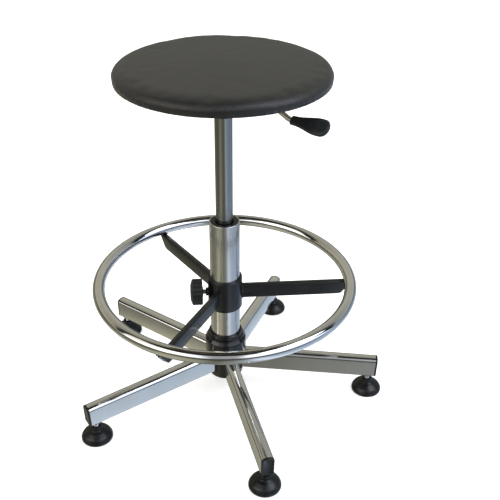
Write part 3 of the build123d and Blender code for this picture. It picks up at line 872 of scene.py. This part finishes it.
glide_r = 26 * mm
glide_outline = [(0, 1.2 * mm), (glide_r - 7 * mm, 1.2 * mm), (glide_r - 8 * mm, 0)] + rounded(
    scaled(
        [
            (18, 0),
            (24.2, 0),
            (26, 1.8),
            (26, 6),
            (22.6, 12.2),
            (15.4, 17.2),
            (9.5, 20),
            (9.5, 27),
            (0, 27),
        ]
    ),
    [0, 0.8 * mm, 0.8 * mm, 3.5 * mm, 9 * mm, 9 * mm, 2.4 * mm, 1.3 * mm, 0],
    closed=False,
)[1:]
for k in range(1, 6):
    centre = middle(f"glide_{k}")
    spot = Matrix.Translation((centre.x, centre.y, 0))
    disc = lathe(glide_outline, 72, closed=False, place=spot)
    place_piece(f"glide_{k}_moulded", disc, f"foot_{k}", "black_foot", [f"glide_{k}"])
    stem_low, stem_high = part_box(f"glide_stem_{k}")
    stem = lathe(thread_outline(4.95 * mm, stem_low[2], stem_high[2]), 32, closed=False, place=spot)
    place_piece(
        f"glide_stem_{k}_threaded", stem, f"foot_{k}", "zinc_steel", [f"glide_stem_{k}"], sharp=30
    )

# %% [markdown]
# ## Footring
#
# The ring is 20 mm chromed tube bent to a circle and welded shut: a small
# circle turned about the column, with the inner wall as a second skin. Three
# powder-coated bars carry it. Each bar is a rounded oblong tube whose lower
# outer corner is cut at 45 degrees, and the ring is welded on top of its end.

# %% Ring
ring_low, ring_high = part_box("footring")
ring_z = (ring_low[2] + ring_high[2]) / 2
tube_half = (ring_high[2] - ring_low[2]) / 2
ring_r = ring_high[0] - tube_half
ring = bmesh.new()
for radius in (tube_half, tube_half - 1.5 * mm):
    circle = [
        (ring_r + radius * math.cos(turn * k / 32), ring_z + radius * math.sin(turn * k / 32))
        for k in range(32)
    ]
    lathe(circle, 192, bm=ring)
bmesh.ops.remove_doubles(ring, verts=ring.verts, dist=1e-6)
bmesh.ops.recalc_face_normals(ring, faces=ring.faces)
for face in ring.faces:
    centre = face.calc_center_median()
    from_core = centre - Vector((*(centre.xy.normalized() * ring_r), ring_z))
    on_inner_wall = from_core.length < tube_half - 0.9 * mm
    if on_inner_wall and face.normal.dot(from_core) > 0:
        face.normal_flip()
ring_mesh = bpy.data.meshes.new("footring")
ring.to_mesh(ring_mesh)
ring.free()
place_piece("footring_chromed", ring_mesh, "footrest", "chrome_tube", ["footring"])

# %% Bars of the footring
collar_low, collar_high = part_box("footring_collar")
collar_r = (collar_high[0] - collar_low[0]) / 2
bar_z = 203.6 * mm
bar_w, bar_h, bar_tip, bar_cut = 10 * mm, 26.4 * mm, 216 * mm, 19 * mm
section = rounded(
    [
        (-bar_w / 2, -bar_h / 2),
        (bar_w / 2, -bar_h / 2),
        (bar_w / 2, bar_h / 2),
        (-bar_w / 2, bar_h / 2),
    ],
    3 * mm,
    steps=5,
)
for k in range(1, 4):
    heading = bearing(f"footring_spoke_{k}")
    place = Matrix.Rotation(math.radians(heading), 4, "Z")
    loops = []
    for share in (0, 0.25, 0.5, 0.75, 0.97, 1.0):
        loop = []
        for across, height in section:
            end = min(bar_tip, bar_tip - bar_cut + (height + bar_h / 2))
            ease = 1 - 0.12 * max(0.0, (share - 0.97) / 0.03)
            radius = (collar_r - 1.2 * mm) + (end - collar_r + 1.2 * mm) * share
            loop.append(place @ Vector((radius, across * ease, bar_z + height * (1 - (1 - ease) / 3))))
        loops.append(loop)
    bar = bmesh.new()
    skin(bar, loops, caps=True)
    place_piece(f"footring_bar_{k}", bar, "footrest", "black_paint", [f"footring_spoke_{k}"])

# %% [markdown]
# The ring's weld is a bead on each side of every bar, and each bar meets the
# collar in a taller bead. The same ring of copies sets all three.

# %% Welds of the footring
weld = bmesh.new()
spots = []
for side in (-1, 1):
    for k in range(-3, 4):
        lean = math.radians(12 * k)
        spots.append(
            (
                ring_r + math.sin(lean) * tube_half * 1.02,
                side * (bar_w / 2 - 0.4 * mm),
                ring_z - math.cos(lean) * tube_half * 1.02,
            )
        )
    for k in range(9):
        height = bar_z - bar_h / 2 + 2 * mm + k * 2.8 * mm
        spots.append((collar_r + 0.1 * mm, side * (bar_w / 2), height))
for spot in spots:
    copy = drop_mesh.copy()
    copy.transform(Matrix.Translation(spot) @ Matrix.Diagonal((0.75, 0.6, 0.75, 1)))
    weld.from_mesh(copy)
    bpy.data.meshes.remove(copy)
welds = ring_of("footring_welds", weld, 3, bearing("footring_spoke_1"), 0, powder_coat)
place_piece("footring_welds_painted", welds, "footrest", "black_paint")

# %% [markdown]
# ## Collar, liner and clamp knob
#
# The collar slides on a slit plastic liner, and a knob drives a pad against
# it. The knob is a moulded disc with a dozen shallow finger flutes: a lathe
# outline whose radius dips by a rule as it goes round, which keeps its edges
# rounded where a boolean would leave them sharp.

# %% Collar and liner
liner_low, liner_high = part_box("collar_liner")
liner_r = tube_r + 1.05 * mm
collar = rounded(
    [
        (liner_r, collar_low[2]),
        (collar_r, collar_low[2]),
        (collar_r, collar_high[2]),
        (liner_r, collar_high[2]),
    ],
    [0, 1.2 * mm, 1.6 * mm, 0],
)
place_piece(
    "footring_collar_painted", lathe(collar, 96), "footrest", "black_paint", ["footring_collar"]
)

lip = liner_high[0]
liner = rounded(
    [
        (tube_r + running, liner_low[2]),
        (lip, liner_low[2]),
        (lip, collar_low[2] - running),
        (liner_r - running, collar_low[2] - running),
        (liner_r - running, collar_high[2] + running),
        (lip, collar_high[2] + running),
        (lip, liner_high[2]),
        (tube_r + running, liner_high[2]),
    ],
    [0.3 * mm, 0.8 * mm, 0, 0, 0, 0, 0.8 * mm, 0.5 * mm],
    steps=4,
)
slit_at = bearing("clamp_knob") + 180
gap = math.asin(1.0 * mm / tube_r)
liner_bm = bmesh.new()
loops = []
steps = 120
for k in range(steps + 1):
    a = math.radians(slit_at) + gap + (turn - 2 * gap) * k / steps
    loops.append([Vector((r * math.cos(a), r * math.sin(a), z)) for r, z in liner])
skin(liner_bm, loops, caps=True)
place_piece("collar_liner_slit", liner_bm, "liner", "black_bush", ["collar_liner"])

# %% Knob, stud and nut
knob_way = outward(bearing("clamp_knob"))
knob_place = axes_at(knob_way.cross(up) * -1, up, Vector((0, 0, bar_z)))
knob_in, knob_out, knob_r = collar_r + 8.5 * mm, collar_r + 30.5 * mm, 22.5 * mm
flutes, dip = 12, 1.3 * mm


def fluted(angle, radius, height):
    """Dips the rim of the knob at each flute and leaves its middle round."""
    share = max(0.0, min(1.0, (radius - 11 * mm) / (9 * mm)))
    bite = max(0.0, math.cos(angle * flutes)) ** 2
    return radius - dip * bite * share


knob = [(0, knob_in)] + rounded(
    [
        (0, knob_in),
        (8 * mm, knob_in),
        (9 * mm, knob_in + 1.5 * mm),
        (knob_r - 1.0 * mm, knob_in + 1.0 * mm),
        (knob_r, knob_in + 2.5 * mm),
        (knob_r, knob_out - 3.6 * mm),
        (12.4 * mm, knob_out - 0.4 * mm),
        (0, knob_out),
    ],
    [0, 0.6 * mm, 0.8 * mm, 1.5 * mm, 2 * mm, 3.4 * mm, 9 * mm, 0],
    closed=False,
)[1:]
place_piece(
    "clamp_knob_fluted",
    lathe(knob, 144, closed=False, place=knob_place, wave=fluted),
    "knob",
    "black_grip",
    ["clamp_knob"],
    sharp=55,
)

stud_low = liner_r + 1.6 * mm
stud = lathe(
    thread_outline(4 * mm, stud_low, knob_in + 6 * mm, pitch=1.25 * mm),
    32,
    closed=False,
    place=knob_place,
)
place_piece("clamp_stud_threaded", stud, "knob", "zinc_steel", ["clamp_stud"], sharp=30)

nut_top = collar_r + 4 * mm
nut = rounded(
    [
        (4.05 * mm, collar_r - 1.2 * mm),
        (7 * mm, collar_r - 1.2 * mm),
        (7 * mm, nut_top),
        (4.05 * mm, nut_top),
    ],
    [0, 0, 0.8 * mm, 0.5 * mm],
)
place_piece(
    "clamp_nut_welded",
    lathe(nut, 48, place=knob_place),
    "footrest",
    "black_paint",
    ["clamp_nut"],
)

# %% [markdown]
# ## Seat cushion
#
# The cushion is a foam disc under one piece of vinyl, pulled down over a
# plywood board and stapled underneath. Foam under a tight cover swells until
# the cover stops it, which is what cloth simulation with inner pressure does.
# The pad starts a little smaller than its place, is remeshed to even quads,
# is inflated for twenty frames, and no point may move further than a cap. A
# smoothing pass then evens out the folds that the inflation leaves.

# %% Pad before it is filled
seat_low, seat_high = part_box("seat_cushion")
board_low, board_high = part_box("seat_board")
seat_r = seat_high[0]
seat_base, seat_top = seat_low[2], seat_high[2]
slim = 0.4 * mm
pad_outline = [(0, seat_base + 0.6 * mm)] + rounded(
    [
        (0, seat_base + 0.6 * mm),
        (seat_r - slim, seat_base + 0.6 * mm),
        (seat_r - slim, seat_top - 2.4 * mm),
        (0, seat_top + 2.0 * mm),
    ],
    [0, 9 * mm, 13.5 * mm, 0],
    closed=False,
    steps=8,
)[1:]
pad = bpy.data.objects.new("seat_pad", mesh_from(lathe(pad_outline, 128, closed=False), "seat_pad"))
bpy.context.scene.collection.objects.link(pad)


def bake(item):
    """Turn an object's modifiers into its plain mesh."""
    graph = bpy.context.evaluated_depsgraph_get()
    mesh = bpy.data.meshes.new_from_object(item.evaluated_get(graph))
    item.modifiers.clear()
    item.data = mesh


remesh = pad.modifiers.new("even quads", "REMESH")
remesh.mode = "VOXEL"
remesh.voxel_size = 4.0 * mm
bake(pad)
print("pad before filling:", len(pad.data.vertices), "points")


# %% Fill it
def inflate(item, pressure, most):
    """Cloth with inner pressure for twenty frames; no point moves over `most`."""
    start = [v.co.copy() for v in item.data.vertices]
    held = item.vertex_groups.new(name="on_the_board")
    held.add([v.index for v in item.data.vertices if v.co.z < board_low[2] + 1 * mm], 1.0, "REPLACE")
    cloth = item.modifiers.new("cloth", "CLOTH")
    cloth.settings.vertex_group_mass = held.name
    cloth.settings.use_pressure = True
    cloth.settings.uniform_pressure_force = pressure
    cloth.settings.mass = 0.4
    cloth.settings.tension_stiffness = 30
    cloth.settings.compression_stiffness = 4
    cloth.settings.bending_stiffness = 12
    cloth.settings.effector_weights.gravity = 0
    cloth.point_cache.frame_start = 1
    cloth.point_cache.frame_end = 20
    for number in range(1, 21):
        bpy.context.scene.frame_set(number)
    bake(item)
    bpy.context.scene.frame_set(1)
    furthest = 0
    for vertex, origin in zip(item.data.vertices, start):
        move = vertex.co - origin
        furthest = max(furthest, move.length)
        if move.length > most:
            vertex.co = origin + move.normalized() * most
    return furthest


print("furthest move, mm:", round(inflate(pad, 3.0, 1.6 * mm) * 1000, 2))
eased = pad.modifiers.new("eased folds", "SMOOTH")
eased.factor, eased.iterations = 0.5, 9
bake(pad)

# %% [markdown]
# The filled pad still lacks what the cover does. Its top keeps faint creases
# where the vinyl has slackened in use, and underneath it is gathered in small
# pleats round the board, which shows in the middle. These are moved points,
# with amplitudes in tenths of a millimetre, after one subdivision.

# %% Creases, pleats and the opening under the board
smooth = pad.modifiers.new("smooth", "SUBSURF")
smooth.levels = smooth.render_levels = 1
bake(pad)
opening_r = 132 * mm
for vertex in pad.data.vertices:
    p = vertex.co
    r = p.xy.length
    if p.z > board_high[2] + 1 * mm:
        inner = max(0.0, 1 - (r / (0.9 * seat_r)) ** 6)
        q = Vector((p.x * 9 + p.y * 4, p.y * 20 - p.x * 5, 0.7))
        crease = 1 - abs(noise.noise(q)) * 2.2
        crease = max(0.0, crease) ** 5
        sag = noise.noise(Vector((p.x * 14, p.y * 14, 3.1)))
        p.z += inner * (0.45 * mm * sag - 0.35 * mm * crease)
    elif p.z < board_low[2] + 0.5 * mm:
        if r < opening_r:
            p.z = board_low[2] + 0.6 * mm
        else:
            angle = math.atan2(p.y, p.x)
            fade = max(0.0, 1 - (r - opening_r) / (26 * mm))
            pleat = math.cos(angle * 44 + 1.3 * math.sin(angle * 5))
            p.z = min(p.z, seat_base + 0.9 * mm) + 0.45 * mm * fade * pleat
    reach_xy = p.xy.length
    if reach_xy > seat_r + 1 * mm:
        p.x, p.y = p.xy * ((seat_r + 1 * mm) / reach_xy)
pad.data.materials.clear()
cushion = place_piece(
    "seat_cushion_filled", pad.data.copy(), "seat", "black_vinyl", ["seat_cushion"], sharp=80
)
bpy.data.objects.remove(pad)

# %% [markdown]
# ## Under the seat
#
# A row of staples holds the gathered vinyl: a wire bent to a low bridge,
# repeated round a circle, so the same ring of copies makes it. Four screws
# with hexagon sockets hold the pressed plate, and they repeat on a square.

# %% Staples
staple_path = rounded(
    [(-4.5 * mm, 1.2 * mm), (-4.5 * mm, -0.35 * mm), (4.5 * mm, -0.35 * mm), (4.5 * mm, 1.2 * mm)],
    [0, 0.7 * mm, 0.7 * mm, 0],
    closed=False,
    steps=3,
)
staple = bmesh.new()
wire = []
for k, p in enumerate(staple_path):
    before, after = staple_path[max(k - 1, 0)], staple_path[min(k + 1, len(staple_path) - 1)]
    along = (after - before).normalized()
    side = Vector((-along.y, along.x))
    loop = []
    for m in range(6):
        a = turn * m / 6
        q = p + side * (0.35 * mm * math.cos(a))
        loop.append(Vector((0.5 * mm * math.sin(a), q.x, seat_base + 0.2 * mm + q.y)))
    wire.append(loop)
skin(staple, wire, caps=True)
staples = ring_of("staples", staple, 44, 4, 140 * mm, zinc)
place_piece("cover_staples", staples, "seat", "zinc_steel")

# %% Screws of the seat plate
plate_turn = bearing("lever_rod")
head_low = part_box("seat_screws")[0][2]


def hexagon(angle, radius, height):
    """Gives the socket its six flats and leaves the rest of the head round."""
    if radius > 2.6 * mm or radius == 0:
        return radius
    flat = (angle % (turn / 6)) - turn / 12
    return radius * math.cos(turn / 12) / math.cos(flat)


recess = [(0, 2), (2.2, 2), (2.3, 0.1)]
head_and_shank = rounded(
    scaled([(2.7, 0), (5.2, 0), (6, 1.4), (6, 3.6), (3, 3.6), (3, 15.6), (0, 15.6)]),
    [0, 0.8 * mm, 0.8 * mm, 0.2 * mm, 0, 0.5 * mm, 0],
    closed=False,
)
screw_outline = [(r, z + head_low) for r, z in scaled(recess) + head_and_shank]
screw = lathe(screw_outline, 36, closed=False, wave=hexagon)
screws = ring_of("plate_screws", screw, 4, plate_turn + 45, 65 * math.sqrt(2) * mm, zinc)
place_piece("plate_screws_socket", screws, "seat", "zinc_steel", ["seat_screws"], sharp=30)

# %% [markdown]
# ## Height lever
#
# A steel rod runs out of the plate's dish, bends down, and ends in a plastic
# paddle. The rod is a circle carried along a path with two round bends. The
# paddle is a skin over oval sections: narrow at its socket, widest near its
# end, tipped towards the hand, with a shallow oval dish for a fingertip.

# %% Rod
lever_dir, lever_side = outward(plate_turn), outward(plate_turn + 90)
rod_low, rod_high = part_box("lever_rod")
rod_r = 4 * mm
rod_z, hand_z = rod_high[2] - rod_r, rod_low[2] + rod_r
rod_path = rounded(
    [(36 * mm, rod_z), (65 * mm, rod_z), (118 * mm, hand_z), (148 * mm, hand_z)],
    [0, 14 * mm, 14 * mm, 0],
    closed=False,
    steps=14,
)
rod = bmesh.new()
loops = []
for k, p in enumerate(rod_path):
    before, after = rod_path[max(k - 1, 0)], rod_path[min(k + 1, len(rod_path) - 1)]
    along = (after - before).normalized()
    normal = lever_dir * -along.y + up * along.x
    centre = lever_dir * p.x + up * p.y
    loops.append(
        [
            centre
            + normal * (rod_r * math.cos(turn * m / 32))
            + lever_side * (rod_r * math.sin(turn * m / 32))
            for m in range(32)
        ]
    )
skin(rod, loops, caps=True)
place_piece("lever_rod_bent", rod, "lever", "satin_steel", ["lever_rod"], chrome)

# %% Paddle
roll = math.radians(35)
face = up * math.cos(roll) - lever_side * math.sin(roll)
width_way = face.cross(lever_dir)
start, end, widest = 121 * mm, 182 * mm, 167 * mm
neck, half_w, half_t = 7 * mm, 14 * mm, 4.4 * mm


def half_width(x):
    """Half the paddle's width: a neck, a smooth swell and an elliptical end."""
    if x < widest:
        t = max(0.0, min(1.0, (x - start - 6 * mm) / (widest - start - 6 * mm)))
        return neck + (half_w - neck) * t * t * (3 - 2 * t)
    t = (x - widest) / (end - widest)
    return half_w * max(0.0, 1 - t**3.6) ** (1 / 2.4)


paddle = bmesh.new()
loops = []
count = 72
for k in range(count + 1):
    share = k / count
    x = start + (end - start) * (1 - (1 - share) ** 1.6)
    w = max(half_width(x), 0.25 * mm)
    ends = min(1.0, math.sqrt(max(0.0, (x - start) / (2.2 * mm)) + 0.35))
    t = half_t * min(1.0, math.sqrt(w / (6.5 * mm))) * ends
    loop = []
    for m in range(64):
        a = turn * m / 64
        c, s = math.cos(a), math.sin(a)
        across = w * math.copysign(abs(c) ** 0.72, c) * ends
        thick = t * math.copysign(abs(s) ** 0.62, s)
        dish = 1 - ((x - 165 * mm) / (12 * mm)) ** 2 - (across / (6.5 * mm)) ** 2
        if s > 0 and dish > 0:
            thick -= 1.1 * mm * min(1.0, dish * 2.2)
        loop.append(up * hand_z + lever_dir * x + width_way * across + face * thick)
    loops.append(loop)
skin(paddle, loops, caps=True)
place_piece("lever_paddle_moulded", paddle, "lever", "black_grip", ["lever_paddle"], sharp=60)

# %% [markdown]
# ## Studio
#
# Chrome shows the room more than itself, so the room is designed: a bright
# soft light above the front, a darker ceiling behind it, a tan wall at the
# back and a cool window to the right. Only reflections see that room; matt
# surfaces are lit by an even white sky and two soft panels, and the floor is
# a plain pale sweep.

# %% Floor
floor_mesh = bpy.data.meshes.new("floor")
half = 30.0
floor_corners = [(-half, -half, 0), (half, -half, 0), (half, half, 0), (-half, half, 0)]
floor_mesh.from_pydata(floor_corners, [], [(0, 1, 2, 3)])
floor = bpy.data.objects.new("floor", floor_mesh)
bpy.context.scene.collection.objects.link(floor)
paper, tree, shader = new_finish("pale_paper_sweep", Roughness=0.9)
shader.inputs["Base Color"].default_value = linear("#f4f4f2")
shader.inputs["Specular IOR Level"].default_value = 0.0
shader.inputs["Emission Color"].default_value = (1, 1, 1, 1)
shader.inputs["Emission Strength"].default_value = 0.36
floor_mesh.materials.append(paper)
floor.visible_glossy = False
floor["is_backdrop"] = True

# %% Room seen in reflections
view_turn = math.radians(-13.4)
front = Vector((math.sin(view_turn), -math.cos(view_turn), 0))
right = Vector((math.cos(view_turn), math.sin(view_turn), 0))
world = bpy.data.worlds.new("studio")
bpy.context.scene.world = world
world.use_nodes = True
tree = world.node_tree
tree.nodes.clear()


place = add_node(tree, "ShaderNodeTexCoord")
direction = place.outputs["Generated"]
ahead = add_node(tree, "ShaderNodeVectorMath", {0: direction, 1: front}, operation="DOT_PRODUCT")
aside = add_node(tree, "ShaderNodeVectorMath", {0: direction, 1: right}, operation="DOT_PRODUCT")
split = add_node(tree, "ShaderNodeSeparateXYZ", {"Vector": direction})
pitch = add_node(
    tree,
    "ShaderNodeMath",
    {0: split.outputs["Z"], 1: ahead.outputs["Value"]},
    operation="ARCTAN2",
)
shares = {}
for name, value, start, end, low, high in (
    ("pitch", pitch.outputs[0], -math.pi, math.pi, 0, 1),
    ("side", aside.outputs["Value"], -1, 1, 0, 1),
    ("lower", split.outputs["Z"], -0.12, 0.10, 1, 0),
    ("raised", split.outputs["Z"], 0.10, 0.30, 0, 1),
    ("facing", ahead.outputs["Value"], 0.05, 0.30, 0, 1),
):
    node = add_node(
        tree,
        "ShaderNodeMapRange",
        {"Value": value, "From Min": start, "From Max": end, "To Min": low, "To Max": high},
    )
    shares[name] = node.outputs[0]


def at(degrees):
    """Ramp position of a pitch angle: 0 is the front horizon, 90 overhead."""
    return (degrees + 180) / 360


# each ramp is read by a share, and its stops are (position, colour, brightness)
ramps = {
    # front-to-back profile of the room, from under the back wall round to it again
    "room": (
        "pitch",
        [
            (at(-180), "#8a8a84", 0.9),
            (at(-165), "#c2c2bc", 1.1),
            (at(-90), "#e6e6e0", 1.25),
            (at(-45), "#e2e2da", 1.2),
            (at(-14), "#cfcfc6", 1.1),
            (at(-3), "#6a6a60", 0.7),
            (at(14), "#74746a", 0.8),
            (at(24), "#f4f6ff", 2.1),
            (at(60), "#f6f8ff", 2.2),
            (at(72), "#4a4a44", 0.5),
            (at(104), "#40403a", 0.5),
            (at(120), "#b4b2a6", 0.9),
            (at(158), "#c6c3b4", 1.0),
            (at(170), "#8a8a80", 0.8),
            (at(180), "#8a8a84", 0.9),
        ],
    ),
    # left-to-right bands on the lower half, which the upright column mirrors
    "bands": (
        "side",
        [
            (0.00, "#8a8a86", 0.85),
            (0.08, "#94948e", 0.85),
            (0.14, "#c4c3b6", 1.05),
            (0.24, "#c8c7bb", 1.1),
            (0.33, "#bab9ad", 1.0),
            (0.44, "#8c8c86", 0.9),
            (0.52, "#a4a6a8", 0.95),
            (0.60, "#b6bec8", 1.05),
            (0.70, "#dfe9ff", 1.6),
            (0.80, "#c9d2de", 1.3),
            (0.90, "#bccadd", 1.15),
            (1.00, "#b4bfcc", 1.1),
        ],
    ),
    # the front window is off to the sides: straight ahead it is mostly wall
    "window": (
        "side",
        [
            (0.00, "#ffffff", 1.0),
            (0.32, "#ffffff", 0.9),
            (0.43, "#ffffff", 0.25),
            (0.55, "#ffffff", 0.25),
            (0.66, "#ffffff", 1.0),
            (1.00, "#ffffff", 1.0),
        ],
    ),
    "cool": ("side", [(0.0, "#fffaee", 1.0), (0.5, "#fcfcf9", 1.0), (1.0, "#e6eeff", 1.1)]),
}
colour_of = {}
for name, (share, stops) in ramps.items():
    node = add_node(tree, "ShaderNodeValToRGB", {"Fac": shares[share]})
    node.color_ramp.interpolation = "EASE"
    points = node.color_ramp.elements
    while len(points) < len(stops):
        points.new(0.5)
    for point, (position, code, level) in zip(points, stops):
        point.position = position
        point.color = (*[c * level for c in linear(code)[:3]], 1)
    colour_of[name] = node.outputs[0]

window_share = add_node(
    tree, "ShaderNodeMath", {0: shares["raised"], 1: shares["facing"]}, operation="MULTIPLY"
)
light = colour_of["room"]
for factor, colour in (
    (shares["lower"], "bands"),
    (window_share.outputs[0], "window"),
    (1.0, "cool"),
):
    product = add_node(
        tree,
        "ShaderNodeMix",
        {0: factor, 6: light, 7: colour_of[colour]},
        data_type="RGBA",
        blend_type="MULTIPLY",
    )
    light = product.outputs[2]
ray = add_node(tree, "ShaderNodeLightPath")
sky = add_node(tree, "ShaderNodeBackground", {"Color": (1.0, 1.0, 1.0, 1), "Strength": 0.92})
mirrored = add_node(tree, "ShaderNodeBackground", {"Color": light, "Strength": 1.0})
mixed = add_node(
    tree,
    "ShaderNodeMixShader",
    {0: ray.outputs["Is Glossy Ray"], 1: sky.outputs[0], 2: mirrored.outputs[0]},
)
add_node(tree, "ShaderNodeOutputWorld", {"Surface": mixed.outputs[0]})
print("room reflected by the chrome:", len(tree.nodes), "nodes")


# %% Soft panels
def panel(name, where, size, watts, code):
    """Square soft light that looks at the middle of the stool."""
    data = bpy.data.lights.new(name, "AREA")
    data.shape = "RECTANGLE"
    data.size, data.size_y = size
    data.energy = watts
    data.color = linear(code)[:3]
    light = bpy.data.objects.new(name, data)
    light.location = where
    light.rotation_euler = (Vector((0, 0, 0.35)) - where).to_track_quat("-Z", "Y").to_euler()
    bpy.context.scene.collection.objects.link(light)
    return light


panel("key_panel", front * 0.6 + right * 1.7 + up * 2.3, (1.6, 1.6), 34, "#f2f6ff")
panel("fill_panel", front * 1.0 - right * 2.0 + up * 1.7, (2.0, 2.0), 16, "#fff6e8")

# matt surfaces that face up get a little more; chrome doesn't mirror this one
above = panel("overhead_panel", front * 0.1 + up * 1.9, (1.2, 1.2), 14, "#ffffff")
above.visible_glossy = False

# %% Camera
# It stands 1.145 m from the column and 0.969 m up, looks 30.9 degrees down,
# and is turned 2.1 degrees to the right of the column with half a degree of roll.
camera_data = bpy.data.cameras.new("camera")
camera_data.lens = 58.09
camera_data.sensor_width = 36.0
camera_data.clip_start, camera_data.clip_end = 0.05, 100
camera = bpy.data.objects.new("camera", camera_data)
camera.location = front * 1.145 + up * 0.96895
aim = Matrix.Rotation(view_turn - math.radians(2.09), 4, "Z")
tilt = Matrix.Rotation(math.radians(90 - 30.88), 4, "X")
lean = Matrix.Rotation(math.radians(0.46), 4, "Z")
camera.rotation_euler = (aim @ tilt @ lean).to_euler()
bpy.context.scene.collection.objects.link(camera)
bpy.context.scene.camera = camera
bpy.context.scene.view_settings.view_transform = "Standard"

# %% Compare the size with the CAD model and finish
visual_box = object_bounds()
for corner, name in enumerate(("lowest", "highest")):
    change = [round((v - c) * 1000, 2) for v, c in zip(visual_box[corner], cad_box[corner])]
    print(name, "corner moved, mm:", change)
